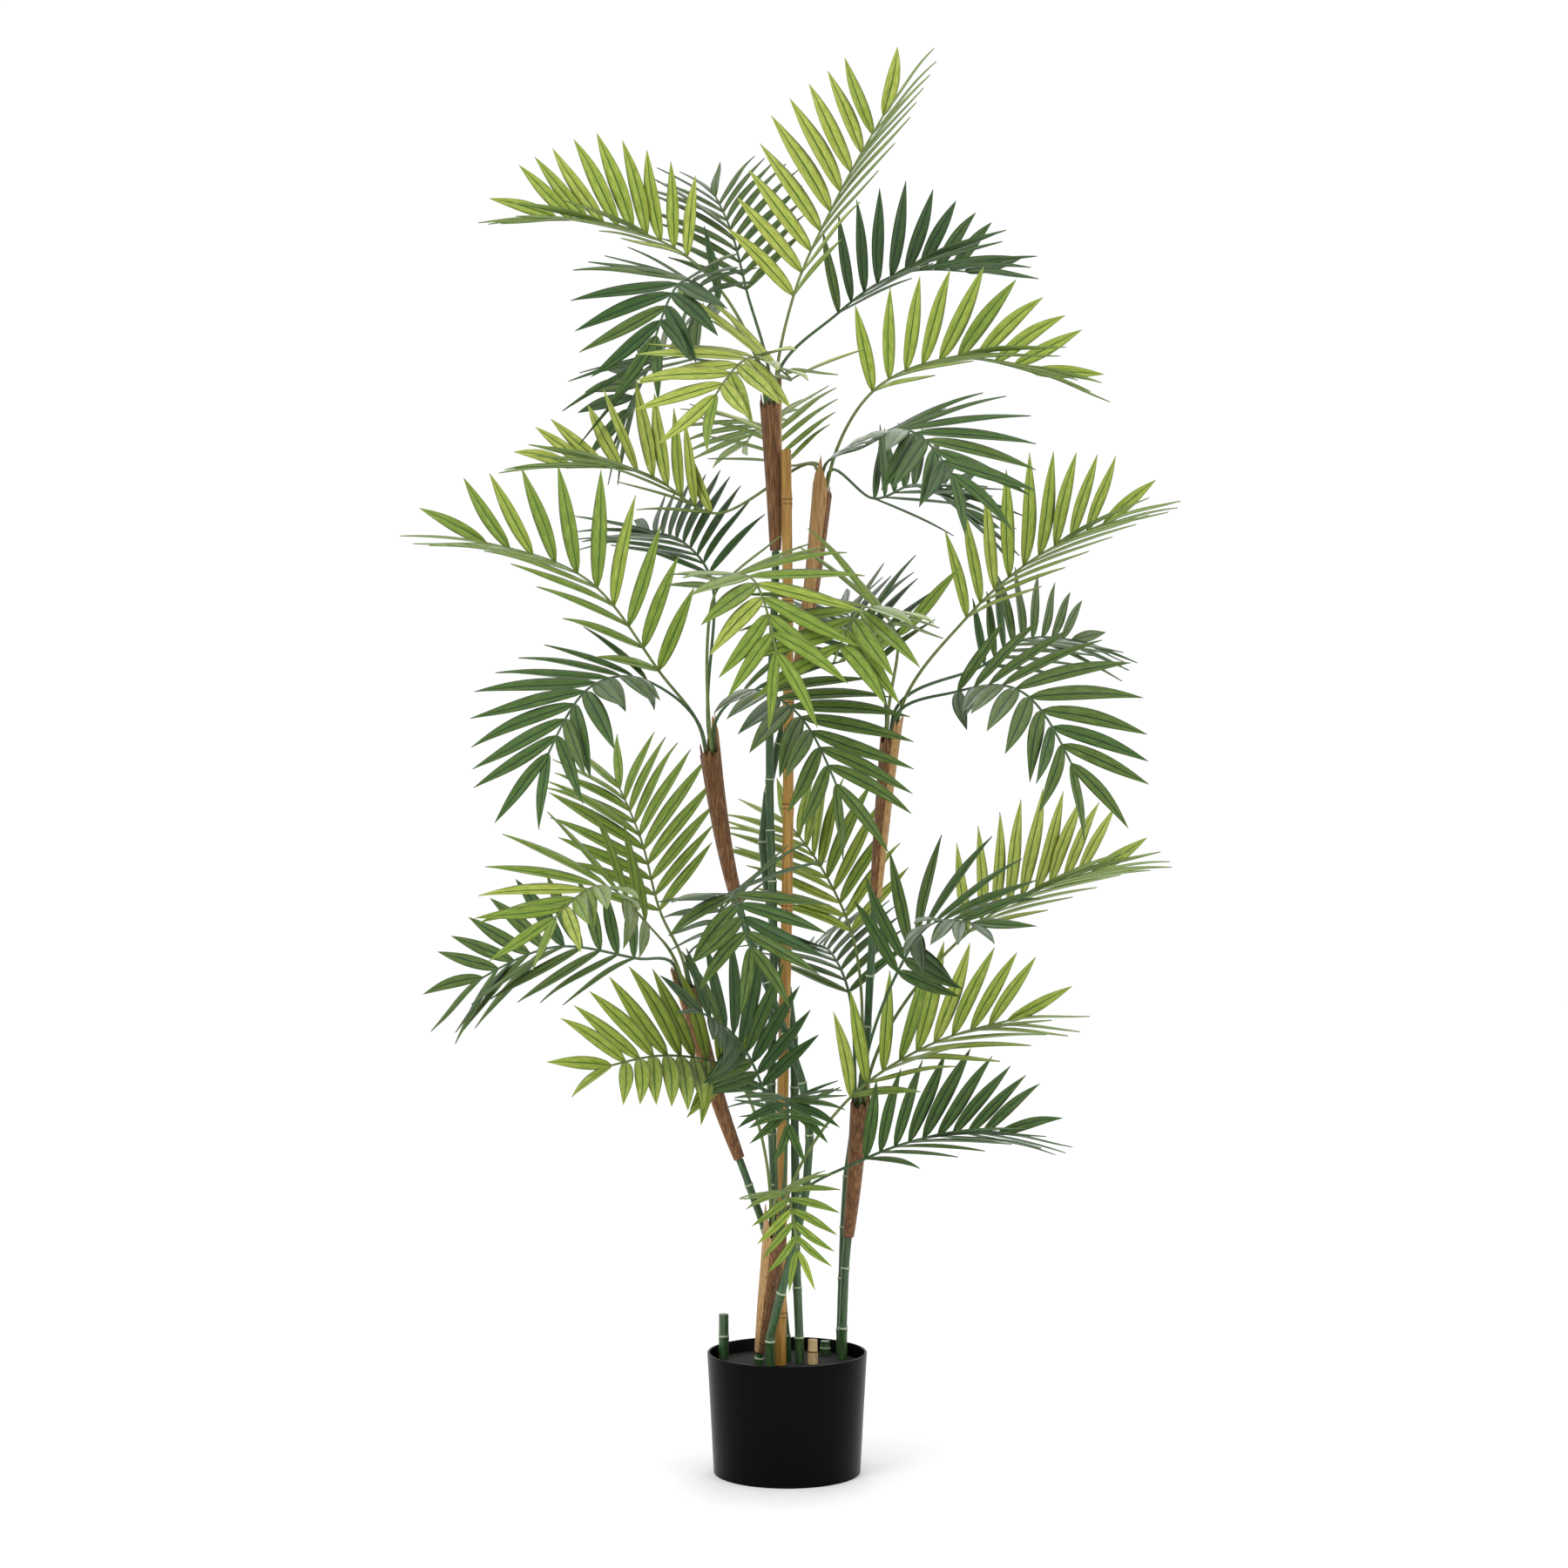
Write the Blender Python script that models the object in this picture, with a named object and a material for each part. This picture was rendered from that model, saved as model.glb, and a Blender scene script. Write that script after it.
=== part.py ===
"""An artificial parlor palm in a plain black pot, 1.5 m tall. Metres, +Z up.

The origin is the centre of the pot's flat underside. The plant is seen from -Y, with +X to
the right. Green moulded stems stand in the pot's fill beside a bamboo cane. Each stem ends
in a brown fibre sheath, and the fronds of its crown rise out of that sheath's mouth.
"""

import math

import bmesh
import bpy
from mathutils import Vector
from mathutils.bvhtree import BVHTree

GAP = 0.0003  # air between neighbouring pieces
UP = Vector((0, 0, 1))

# The pot and what fills it
POT_HEIGHT = 0.124
POT_RIM_RADIUS = 0.0826
POT_FOOT_RADIUS = 0.0757
POT_WALL = 0.0026
POT_FLOOR = 0.004
POT_FOOT_ROUND = 0.003
POT_FOOT_MIDDLE = 0.3  # how far the rounding's middle stays out, as a share of its radius
POT_SIDES = 40
POT_SMOOTH = 35  # degrees; edges sharper than this stay sharp
FILL_LEVEL = 0.111
STAND = FILL_LEVEL + GAP  # where everything that grows out of the fill begins

# Stems, moulded with a raised ring at each joint
STEM_FOOT_RADIUS = 0.0047
STEM_TOP_RADIUS = 0.0040
STEM_RING_RISE = 0.0005
STEM_JOINT = 0.052
STEM_SIDES = 6
CANE_FOOT_RADIUS = 0.0062
CANE_TOP_RADIUS = 0.0052
CANE_JOINT = 0.17
CANE_SIDES = 10
ROD_SMOOTH = 60
NEARLY_UPRIGHT = 0.9  # a rod that starts this upright stands on a level foot

# Sheaths, which widen upwards to a mouth with one longer lip
SHEATH_FOOT_RADIUS = 0.0058
SHEATH_MOUTH_RADIUS = 0.0108
SHEATH_SIDES = 10
SHEATH_STEPS = 4
SHEATH_SWELL = 0.8  # below 1 it widens early
SHEATH_SMOOTH = 40
MOUTH_EDGE = 0.002  # height of the thin edge round the mouth
SHEATH_WALL_SHARE = 0.82  # inner edge of the mouth, as a share of its radius
LIP_SHARPNESS = 3
LIP_FLARE = 0.25  # how far the lip leans out, as a share of the mouth's radius

# Fronds, all from one mould and bent by hand
PETIOLE_RADIUS = 0.0019
SHOULDER_RADIUS = 0.0015
RACHIS_END_RADIUS = 0.0011
PETIOLE_STEPS = 6
PETIOLE_RING = 0.0050  # how far from the sheath's axis the petioles start
PETIOLE_NECK = 0.024  # how far they rise before they bend away
PETIOLE_LEAN = 0.002  # how far they lean out over that rise
PAIRS = 10  # leaflet pairs, with the one at the tip
SOCKET = 0.005  # length of rachis that carries a pair
LEAFLET_LENGTH = 0.128
LEAFLET_WIDTH = 0.0205
LEAFLET_THICKNESS = 0.0014
LEAFLET_WIDEST = 0.42  # share of the length
LONGEST_AT = 0.45  # place of the longest leaflets, as a share of the rachis
SHORTEST_LEAFLET = 0.70  # at the rachis tip, as a share of the longest
SWEEP_FIRST = math.radians(58)  # angle of the lowest leaflets to the rachis
SWEEP_LAST = math.radians(40)
SWEEP_TERMINAL = math.radians(17)
LEAFLET_TWIST = math.radians(-12)  # turns a leaflet's face towards the rachis tip
LEAFLET_SAG = 0.07  # drop of a leaflet's tip, as a share of its length

# A leaflet that would touch something is tried at these swings, lifts and lengths, then left out
LEAFLET_TRIES = (
    (0, 0, 1.0), (8, 0, 1.0), (-8, 0, 1.0), (0, 14, 1.0), (0, -14, 1.0),
    (10, 20, 0.9), (-10, -20, 0.9), (0, 28, 0.8), (0, -28, 0.8), (0, 0, 0.6),
)
CLEARANCE = 0.0009
PROBE_ROOT = 0.30  # where a leaflet's test hull begins, as a share of the way to its widest
PROBE_ROOT_SIZE = 0.35  # and its width there, as a share of the widest

# Colours and finishes: base colour, roughness
FINISHES = {
    "black_plastic": ((0.012, 0.012, 0.010), 0.42),
    "dark_fill": ((0.018, 0.017, 0.015), 0.85),
    "cane": ((0.48, 0.24, 0.045), 0.5),
    "green_stem": ((0.028, 0.070, 0.036), 0.4),
    "fibre_sheath": ((0.20, 0.080, 0.035), 0.85),
    "cut_cane": ((0.42, 0.30, 0.16), 0.8),
    "light_leaf": ((0.27, 0.42, 0.055), 0.5),
    "dark_leaf": ((0.045, 0.125, 0.045), 0.45),
}

# Each stem: its centre line, its sheath's length and mouth radius, the way its lip faces
# (degrees from +X towards +Y) and how far the lip stands above the mouth
STEMS = {
    "top": dict(
        line=(
            (0.000, 0.016, STAND), (-0.006, 0.016, 0.185), (-0.016, 0.012, 0.367),
            (-0.014, 0.005, 0.557), (-0.018, 0.002, 0.702), (-0.018, 0.003, 0.764),
            (-0.012, 0.009, 0.955), (-0.017, 0.012, 1.101),
        ),
        sheath=0.150, mouth=0.0108, lip_way=20, lip=0.030,
    ),
    "upper": dict(
        line=(
            (0.013, 0.006, STAND), (0.009, 0.010, 0.232), (0.008, 0.013, 0.349),
            (0.004, 0.019, 0.475), (-0.015, 0.021, 0.565), (-0.025, 0.016, 0.665),
            (-0.014, 0.018, 0.730), (0.010, 0.018, 0.824), (0.036, 0.016, 1.010),
        ),
        sheath=0.185, mouth=0.0104, lip_way=245, lip=0.030,
    ),
    "left": dict(
        line=(
            (-0.017, -0.020, STAND), (-0.017, -0.0225, 0.146), (-0.003, -0.036, 0.201),
            (0.018, -0.026, 0.287), (0.023, -0.018, 0.343), (0.016, -0.017, 0.401),
            (-0.014, -0.018, 0.486), (-0.050, -0.014, 0.585), (-0.079, -0.012, 0.740),
        ),
        sheath=0.160, mouth=0.0104, lip_way=45, lip=0.036,
    ),
    "right": dict(
        line=(
            (0.056, 0.046, STAND), (0.058, 0.048, 0.193), (0.065, 0.045, 0.317),
            (0.079, 0.035, 0.401), (0.088, 0.015, 0.540), (0.096, 0.004, 0.647),
            (0.106, -0.004, 0.755),
        ),
        sheath=0.165, mouth=0.0098, lip_way=-30, lip=0.028,
    ),
    "low_left": dict(
        line=(
            (-0.014, 0.030, STAND), (-0.014, 0.032, 0.165), (-0.019, 0.026, 0.229),
            (-0.039, -0.003, 0.295), (-0.069, -0.013, 0.379), (-0.103, -0.016, 0.500),
        ),
        sheath=0.185, mouth=0.0104, lip_way=150, lip=0.024,
    ),
    "low_right": dict(
        line=(
            (0.058, 0.027, STAND), (0.060, 0.020, 0.198), (0.069, 0.006, 0.295),
            (0.075, -0.003, 0.378),
        ),
        sheath=0.140, mouth=0.0098, lip_way=60, lip=0.022,
    ),
    "base": dict(
        line=((-0.029, 0.000, STAND), (-0.0265, -0.005, 0.134), (-0.0125, -0.0245, 0.246)),
        sheath=0.125, mouth=0.0122, lip_way=190, lip=0.032,
    ),
}
CANE_LINE = ((-0.007, -0.004, STAND), (-0.005, 0, 0.35), (0.001, 0, 0.67), (-0.001, 0, 1.055))

# Short cut-off ends that stand in the fill: name, place, height, radius, finish
STUBS = (
    ("stub_green_tall", (-0.066, 0.030), 0.046, 0.0055, "green_stem"),
    ("stub_cut_cane", (0.0265, 0.000), 0.025, 0.0052, "cut_cane"),
    ("stub_green_short", (0.040, 0.050), 0.014, 0.0054, "green_stem"),
)
STUB_PROFILE = ((1, 0), (0.96, 0.6), (1, 0.94), (0.8, 1))  # shares of its radius and height
STUB_SIDES = 10

# Each frond: where its leaflets begin, where its rachis ends, how far the rachis bows up
# between them, the way its upper side looks (degrees round from the front, degrees up), how
# far the leaflet rows fold up from flat, its tint, and how long its leaflets are
FRONDS = {
    "top_1": ((0.006, 0.000, 1.212), (0.103, 0.080, 1.420), 0.006, -34, 12, 34, "light", 1.1),
    "top_2": ((-0.102, 0.022, 1.257), (-0.243, 0.060, 1.305), 0.012, 0, 38, 38, "light", 0.95),
    "top_3": ((-0.042, 0.040, 1.225), (-0.078, 0.170, 1.351), 0.010, 0, 20, 20, "dark", 0.95),
    "top_4": ((-0.070, 0.000, 1.205), (-0.130, -0.140, 1.150), 0.040, -15, 40, 10, "dark", 0.95),
    "top_5": ((-0.095, 0.050, 1.156), (-0.175, 0.180, 1.118), 0.030, 0, 35, 15, "dark", 0.95),
    "top_6": ((0.004, -0.055, 1.120), (-0.070, -0.195, 1.085), 0.030, -10, 38, 12, "light", 1.0),
    "top_7": ((0.052, 0.050, 1.203), (0.195, 0.160, 1.267), 0.020, 0, 42, 42, "dark", 1.0),
    "upper_1": ((0.086, -0.020, 1.111), (0.258, 0.055, 1.143), 0.025, 0, 38, 38, "light", 1.0),
    "upper_2": ((0.076, -0.050, 1.052), (0.160, -0.185, 1.010), 0.03, 20, 35, 5, "dark", 1.0),
    "upper_3": ((0.090, 0.070, 1.012), (0.192, 0.200, 1.010), 0.022, 0, 34, 20, "dark", 0.95),
    "upper_4": ((-0.077, 0.060, 0.995), (-0.234, 0.150, 1.053), 0.018, 0, 42, 42, "light", 0.95),
    "upper_5": ((0.000, 0.090, 1.050), (-0.045, 0.270, 1.095), 0.030, 0, 40, 15, "light", 0.9),
    "left_1": ((-0.130, -0.030, 0.824), (-0.317, 0.045, 0.963), 0.033, 0, 38, 38, "light", 1.05),
    "left_2": ((-0.072, -0.060, 0.905), (-0.010, -0.205, 0.835), 0.045, 15, 40, 10, "light", 0.95),
    "left_3": ((-0.081, 0.050, 0.929), (-0.152, 0.200, 0.986), 0.015, 0, 30, 20, "dark", 1.0),
    "left_4": ((-0.140, -0.060, 0.814), (-0.232, -0.190, 0.738), 0.033, -20, 38, 5, "dark", 0.95),
    "left_5": ((-0.047, -0.050, 0.802), (0.048, -0.190, 0.708), 0.030, 20, 35, 10, "dark", 0.95),
    "right_1": ((0.185, 0.020, 0.881), (0.340, 0.110, 0.989), 0.012, 0, 42, 42, "light", 1.05),
    "right_2": ((0.112, -0.050, 0.858), (0.045, -0.205, 0.828), 0.042, -10, 38, 10, "light", 1.05),
    "right_3": ((0.172, -0.040, 0.804), (0.277, -0.180, 0.728), 0.038, 10, 35, 15, "dark", 0.95),
    "right_4": ((0.205, 0.050, 0.834), (0.312, 0.175, 0.867), 0.015, 0, 30, 20, "dark", 0.9),
    "right_5": ((0.091, 0.060, 0.831), (0.062, 0.190, 0.900), 0.010, 0, 25, 15, "dark", 1.0),
    "low_left_1": ((-0.132, 0.030, 0.576), (-0.181, 0.140, 0.706), 0.010, 0, 18, 20, "light", 1.0),
    "low_left_2": ((-0.142, -0.070, 0.570), (-0.225, -0.205, 0.580), 0.035, -20, 38, 10, "light", 0.95),
    "low_left_3": ((-0.157, 0.030, 0.528), (-0.327, 0.110, 0.502), 0.023, 0, 32, 10, "dark", 0.9),
    "low_left_4": ((-0.078, -0.070, 0.558), (-0.035, -0.225, 0.552), 0.048, 0, 50, 5, "dark", 0.9),
    "low_right_1": ((0.065, 0.040, 0.490), (0.025, 0.200, 0.532), 0.020, 0, 40, 15, "dark", 0.95),
    "low_right_2": ((0.068, 0.050, 0.553), (0.005, 0.160, 0.663), 0.010, 0, 20, 20, "light", 1.0),
    "low_right_3": ((0.186, 0.020, 0.554), (0.329, 0.120, 0.616), 0.010, 0, 42, 42, "light", 1.05),
    "low_right_4": ((0.111, -0.060, 0.518), (0.180, -0.190, 0.575), 0.025, 10, 40, 10, "dark", 0.95),
    "base_1": ((-0.055, -0.050, 0.416), (-0.172, -0.190, 0.437), 0.014, 0, 28, 28, "light", 0.95),
    "base_2": ((0.063, -0.040, 0.389), (0.232, 0.035, 0.463), 0.014, 0, 38, 38, "light", 1.0),
    "base_3": ((0.076, -0.080, 0.332), (0.217, -0.020, 0.351), 0.010, 0, 40, 40, "dark", 0.9),
    "base_4": ((-0.012, -0.065, 0.290), (0.010, -0.180, 0.255), 0.033, 0, 45, 10, "light", 0.5),
    "base_5": ((0.000, -0.090, 0.372), (0.001, -0.180, 0.378), 0.025, 0, 45, 5, "dark", 0.62),
    "base_6": ((-0.025, -0.040, 0.400), (-0.085, -0.140, 0.485), 0.015, 0, 35, 20, "dark", 0.9),
}


def clear_scene():
    for item in list(bpy.data.objects):
        bpy.data.objects.remove(item, do_unlink=True)


def finish(name):
    """The material of one of FINISHES, made once."""
    found = bpy.data.materials.get(name)
    if found:
        return found
    colour, roughness = FINISHES[name]
    material = bpy.data.materials.new(name)
    material.use_nodes = True
    shader = material.node_tree.nodes["Principled BSDF"]
    shader.inputs["Base Color"].default_value = (*colour, 1)
    shader.inputs["Roughness"].default_value = roughness
    shader.inputs["Metallic"].default_value = 0
    material.diffuse_color = (*colour, 1)
    return material


def node_from(bm, name, finish_name, smooth_angle=None):
    """Turns a bmesh into the object for one node."""
    bmesh.ops.recalc_face_normals(bm, faces=bm.faces)
    mesh = bpy.data.meshes.new(name)
    bm.to_mesh(mesh)
    bm.free()
    if smooth_angle:
        mesh.shade_smooth()
        mesh.set_sharp_from_angle(angle=math.radians(smooth_angle))
    mesh.materials.append(finish(finish_name))
    item = bpy.data.objects.new(name, mesh)
    bpy.context.scene.collection.objects.link(item)
    return item


def bridge(bm, lower, upper):
    """Quads between two rings of the same number of points."""
    count = len(lower)
    for i in range(count):
        j = (i + 1) % count
        bm.faces.new((lower[i], lower[j], upper[j], upper[i]))


def level_ring(bm, radius, height, sides, centre=(0, 0)):
    turns = (2 * math.pi * i / sides for i in range(sides))
    return [
        bm.verts.new((centre[0] + radius * math.cos(a), centre[1] + radius * math.sin(a), height))
        for a in turns
    ]


def turned(bm, profile, sides, centre=(0, 0)):
    """A closed turned body from (radius, height) pairs, with flat ends."""
    rings = [level_ring(bm, radius, height, sides, centre) for radius, height in profile]
    for lower, upper in zip(rings, rings[1:]):
        bridge(bm, lower, upper)
    bm.faces.new(rings[0][::-1])
    bm.faces.new(rings[-1])


def pot_radius(height):
    return POT_FOOT_RADIUS + (POT_RIM_RADIUS - POT_FOOT_RADIUS) * height / POT_HEIGHT


def make_pot():
    bm = bmesh.new()
    edge = POT_FOOT_ROUND
    profile = (
        (POT_FOOT_RADIUS - edge, 0),
        (POT_FOOT_RADIUS - POT_FOOT_MIDDLE * edge, POT_FOOT_MIDDLE * edge),
        (pot_radius(edge), edge),
        (POT_RIM_RADIUS, POT_HEIGHT),
        (POT_RIM_RADIUS - POT_WALL, POT_HEIGHT),
        (pot_radius(POT_FLOOR) - POT_WALL, POT_FLOOR),
    )
    turned(bm, profile, POT_SIDES)
    node_from(bm, "pot", "black_plastic", POT_SMOOTH)


def make_fill():
    bm = bmesh.new()
    low = POT_FLOOR + GAP
    inner = POT_WALL + GAP
    turned(bm, ((pot_radius(low) - inner, low), (pot_radius(FILL_LEVEL) - inner, FILL_LEVEL)), POT_SIDES)
    node_from(bm, "fill", "dark_fill", POT_SMOOTH)


def hermite(p0, p1, m0, m1, u):
    a = 2 * u**3 - 3 * u**2 + 1
    b = u**3 - 2 * u**2 + u
    c = -2 * u**3 + 3 * u**2
    d = u**3 - u**2
    return p0 * a + m0 * b + p1 * c + m1 * d


def smooth_line(points, first_way=None, steps=24):
    """Close points along a smooth curve through the given ones."""
    points = [Vector(p) for p in points]
    spans = [(b - a).length for a, b in zip(points, points[1:])]
    ways = []
    for i in range(len(points)):
        before = (points[i] - points[i - 1]) / spans[i - 1] if i > 0 else None
        after = (points[i + 1] - points[i]) / spans[i] if i < len(spans) else None
        if before is None:
            ways.append(Vector(first_way).normalized() if first_way else after)
        elif after is None:
            ways.append((before * 1.5 - ways[-1] * 0.5).normalized())
        else:
            share = spans[i] / (spans[i - 1] + spans[i])
            ways.append(before * share + after * (1 - share))
    line = []
    for i, span in enumerate(spans):
        for k in range(steps):
            u = k / steps
            line.append(hermite(points[i], points[i + 1], ways[i] * span, ways[i + 1] * span, u))
    line.append(points[-1])
    return line


class Route:
    """A smooth line that can be read by distance along it."""

    def __init__(self, points, first_way=None):
        self.line = smooth_line(points, first_way)
        self.marks = [0.0]
        for a, b in zip(self.line, self.line[1:]):
            self.marks.append(self.marks[-1] + (b - a).length)
        self.length = self.marks[-1]

    def at(self, distance):
        """The place and the way forward at a distance along the line."""
        distance = min(max(distance, 0.0), self.length)
        i = 0
        while i < len(self.line) - 2 and self.marks[i + 1] < distance:
            i += 1
        span = self.marks[i + 1] - self.marks[i]
        share = (distance - self.marks[i]) / span
        place = self.line[i].lerp(self.line[i + 1], share)
        low = self.line[max(i - 1, 0)]
        high = self.line[min(i + 2, len(self.line) - 1)]
        return place, (high - low).normalized()


def cross_axes(way, hint):
    """Two unit vectors square to a way, the first of them nearest to the hint."""
    first = (Vector(hint) - way * way.dot(Vector(hint))).normalized()
    return first, way.cross(first)


def tube(bm, route, marks, radii, sides, hint=(1, 0, 0)):
    """A closed tube along a route, with one ring at each mark; gives its rings."""
    rings = []
    for mark, radius in zip(marks, radii):
        place, way = route.at(mark)
        if mark == 0:
            way = UP if abs(way.z) > NEARLY_UPRIGHT else way
        first, second = cross_axes(way, hint)
        ring = []
        for i in range(sides):
            a = 2 * math.pi * i / sides
            ring.append(bm.verts.new(place + (first * math.cos(a) + second * math.sin(a)) * radius))
        rings.append(ring)
    for lower, upper in zip(rings, rings[1:]):
        bridge(bm, lower, upper)
    bm.faces.new(rings[0][::-1])
    bm.faces.new(rings[-1])
    return rings


def jointed_marks(length, joint, foot_radius, top_radius, rise):
    """Marks and radii of a stem whose joints stand out from the lengths between them."""
    joints = max(2, round(length / joint))
    marks, radii = [], []
    for i in range(2 * joints + 1):
        share = i / (2 * joints)
        marks.append(length * share)
        radii.append(foot_radius + (top_radius - foot_radius) * share + (rise if i % 2 else 0))
    return marks, radii


def make_stem(name, plan, route):
    bm = bmesh.new()
    length = route.length - plan["sheath"] - GAP
    marks, radii = jointed_marks(length, STEM_JOINT, STEM_FOOT_RADIUS, STEM_TOP_RADIUS, STEM_RING_RISE)
    tube(bm, route, marks, radii, STEM_SIDES)
    node_from(bm, "stem_" + name, "green_stem", ROD_SMOOTH)


def make_cane():
    bm = bmesh.new()
    route = Route(CANE_LINE, UP)
    marks, radii = jointed_marks(
        route.length, CANE_JOINT, CANE_FOOT_RADIUS, CANE_TOP_RADIUS, STEM_RING_RISE
    )
    tube(bm, route, marks, radii, CANE_SIDES)
    node_from(bm, "cane", "cane", ROD_SMOOTH)


def make_sheath(name, plan, route):
    """A tapering body whose mouth has a thin standing edge, drawn up to a lip on one side."""
    bm = bmesh.new()
    begin = route.length - plan["sheath"]
    shares = [i / SHEATH_STEPS for i in range(SHEATH_STEPS + 1)]
    marks = [begin + plan["sheath"] * share for share in shares]
    widening = plan["mouth"] - SHEATH_FOOT_RADIUS
    radii = [SHEATH_FOOT_RADIUS + widening * share**SHEATH_SWELL for share in shares]
    rings = tube(bm, route, marks, radii, SHEATH_SIDES)
    place, way = route.at(route.length)
    bm.faces.remove(next(f for f in rings[-1][0].link_faces if len(f.verts) == SHEATH_SIDES))
    inner = [bm.verts.new(place + (v.co - place) * SHEATH_WALL_SHARE) for v in rings[-1]]
    bridge(bm, rings[-1], inner)
    bm.faces.new(inner)
    lip = Vector((math.cos(math.radians(plan["lip_way"])), math.sin(math.radians(plan["lip_way"])), 0))
    for vert in rings[-1]:
        out = vert.co - place
        facing = max(0.0, out.normalized().dot(lip)) ** LIP_SHARPNESS
        vert.co += way * (MOUTH_EDGE + plan["lip"] * facing) + out * LIP_FLARE * facing
    node_from(bm, "sheath_" + name, "fibre_sheath", SHEATH_SMOOTH)


def make_stubs():
    for name, centre, height, radius, finish_name in STUBS:
        bm = bmesh.new()
        profile = [(radius * wide, STAND + height * high) for wide, high in STUB_PROFILE]
        turned(bm, profile, STUB_SIDES, centre)
        node_from(bm, name, finish_name, SHEATH_SMOOTH)


def look_way(round_deg, up_deg):
    """A direction given by degrees round from the front (-Y) towards +X, and degrees up."""
    a, e = math.radians(round_deg), math.radians(up_deg)
    return Vector((math.sin(a) * math.cos(e), -math.cos(a) * math.cos(e), math.sin(e)))


def petiole_starts(crown):
    """Where each frond of a crown leaves its sheath, dealt evenly round the mouth."""
    route = ROUTES[crown]
    centre, way = route.at(route.length)
    first, second = cross_axes(way, (1, 0, 0))
    names = [n for n in FRONDS if n.rsplit("_", 1)[0] == crown]
    headings = {}
    for name in names:
        out = Vector(FRONDS[name][0]) - centre
        headings[name] = math.atan2(out.dot(second), out.dot(first))
    names.sort(key=lambda n: headings[n])
    step = 2 * math.pi / len(names)
    slant = [headings[n] - i * step for i, n in enumerate(names)]
    turn = math.atan2(sum(math.sin(s) for s in slant), sum(math.cos(s) for s in slant))
    ring = PETIOLE_RING * STEMS[crown]["mouth"] / SHEATH_MOUTH_RADIUS
    starts = {}
    for i, name in enumerate(names):
        a = turn + i * step
        spoke = first * math.cos(a) + second * math.sin(a)
        start = centre + spoke * ring + way * 2 * GAP
        starts[name] = (start, start + way * PETIOLE_NECK + spoke * PETIOLE_LEAN)
    return starts


class Frond:
    """One frond's rachis and the places of its leaflets."""

    def __init__(self, name, start, neck):
        shoulder, tip, bow, round_deg, up_deg, fold, self.tint, self.size = FRONDS[name]
        self.name = name
        self.fold = math.radians(fold)
        self.look = look_way(round_deg, up_deg)
        shoulder, tip = Vector(shoulder), Vector(tip)
        chord = (tip - shoulder).normalized()
        lift = (UP - chord * chord.z).normalized()
        middle = (shoulder + tip) / 2 + lift * bow
        self.route = Route((start, neck, shoulder, middle, tip), neck - start)
        self.shoulder_mark = nearest_mark(self.route, shoulder)

    def axes(self, mark):
        """Place, way along, way to the right and way up at a mark on the rachis."""
        place, way = self.route.at(mark)
        up = (self.look - way * way.dot(self.look)).normalized()
        return place, way, way.cross(up), up

    def socket_mark(self, pair):
        last = self.route.length - SOCKET
        return self.shoulder_mark + (last - self.shoulder_mark) * pair / (PAIRS - 1)

    def leaflet(self, pair, side, swing=0, lift=0, scale=1.0):
        """The base, middle and tip of a leaflet and its blade's axes. side is 1 or -1."""
        share = pair / (PAIRS - 1)
        sweep = SWEEP_FIRST + (SWEEP_LAST - SWEEP_FIRST) * share
        if pair == PAIRS - 1:
            sweep = SWEEP_TERMINAL
        sweep += math.radians(swing)
        fold = self.fold + math.radians(lift)
        place, way, right, up = self.axes(self.socket_mark(pair) + SOCKET / 2)
        out = right * side * math.cos(fold) + up * math.sin(fold)
        normal = up * math.cos(fold) - right * side * math.sin(fold)
        along = way * math.cos(sweep) + out * math.sin(sweep)
        across = way * math.sin(sweep) - out * math.cos(sweep)
        turn = LEAFLET_TWIST
        across, normal = (
            across * math.cos(turn) + normal * math.sin(turn),
            normal * math.cos(turn) - across * math.sin(turn),
        )
        full = 1 - (1 - SHORTEST_LEAFLET) * abs(share - LONGEST_AT) / (1 - LONGEST_AT)
        length = LEAFLET_LENGTH * self.size * full * scale
        sag = LEAFLET_SAG * length
        middle = place + along * length * LEAFLET_WIDEST - UP * sag * LEAFLET_WIDEST**2
        tip = place + along * length - UP * sag
        width = LEAFLET_WIDTH * length / LEAFLET_LENGTH
        return dict(
            base=place, middle=middle, tip=tip, along=along, across=across, normal=normal,
            length=length, width=width,
        )


def nearest_mark(route, place):
    distances = [(p - place).length for p in route.line]
    return route.marks[distances.index(min(distances))]


def blade_corners(leaf, grow=0.0):
    """The four corners of a leaflet's widest section, grown by some clearance."""
    half = leaf["across"] * (leaf["width"] / 2 + grow)
    thick = leaf["normal"] * (LEAFLET_THICKNESS / 2 + grow)
    centre = leaf["middle"]
    return [centre - half + thick, centre + half + thick, centre + half - thick, centre - half - thick]


def probe_tree(leaf):
    """A leaflet's hull with clearance, from just off the rachis to its tip."""
    root = leaf["base"].lerp(leaf["middle"], PROBE_ROOT)
    points = [root + (c - leaf["middle"]) * PROBE_ROOT_SIZE for c in blade_corners(leaf, CLEARANCE)]
    points += blade_corners(leaf, CLEARANCE)
    points.append(leaf["tip"] + (leaf["tip"] - leaf["base"]).normalized() * CLEARANCE)
    faces = [(i, (i + 1) % 4, (i + 1) % 4 + 4, i + 4) for i in range(4)]
    faces += [(i + 4, (i + 1) % 4 + 4, 8) for i in range(4)]
    return points, BVHTree.FromPolygons(points, faces)


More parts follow.
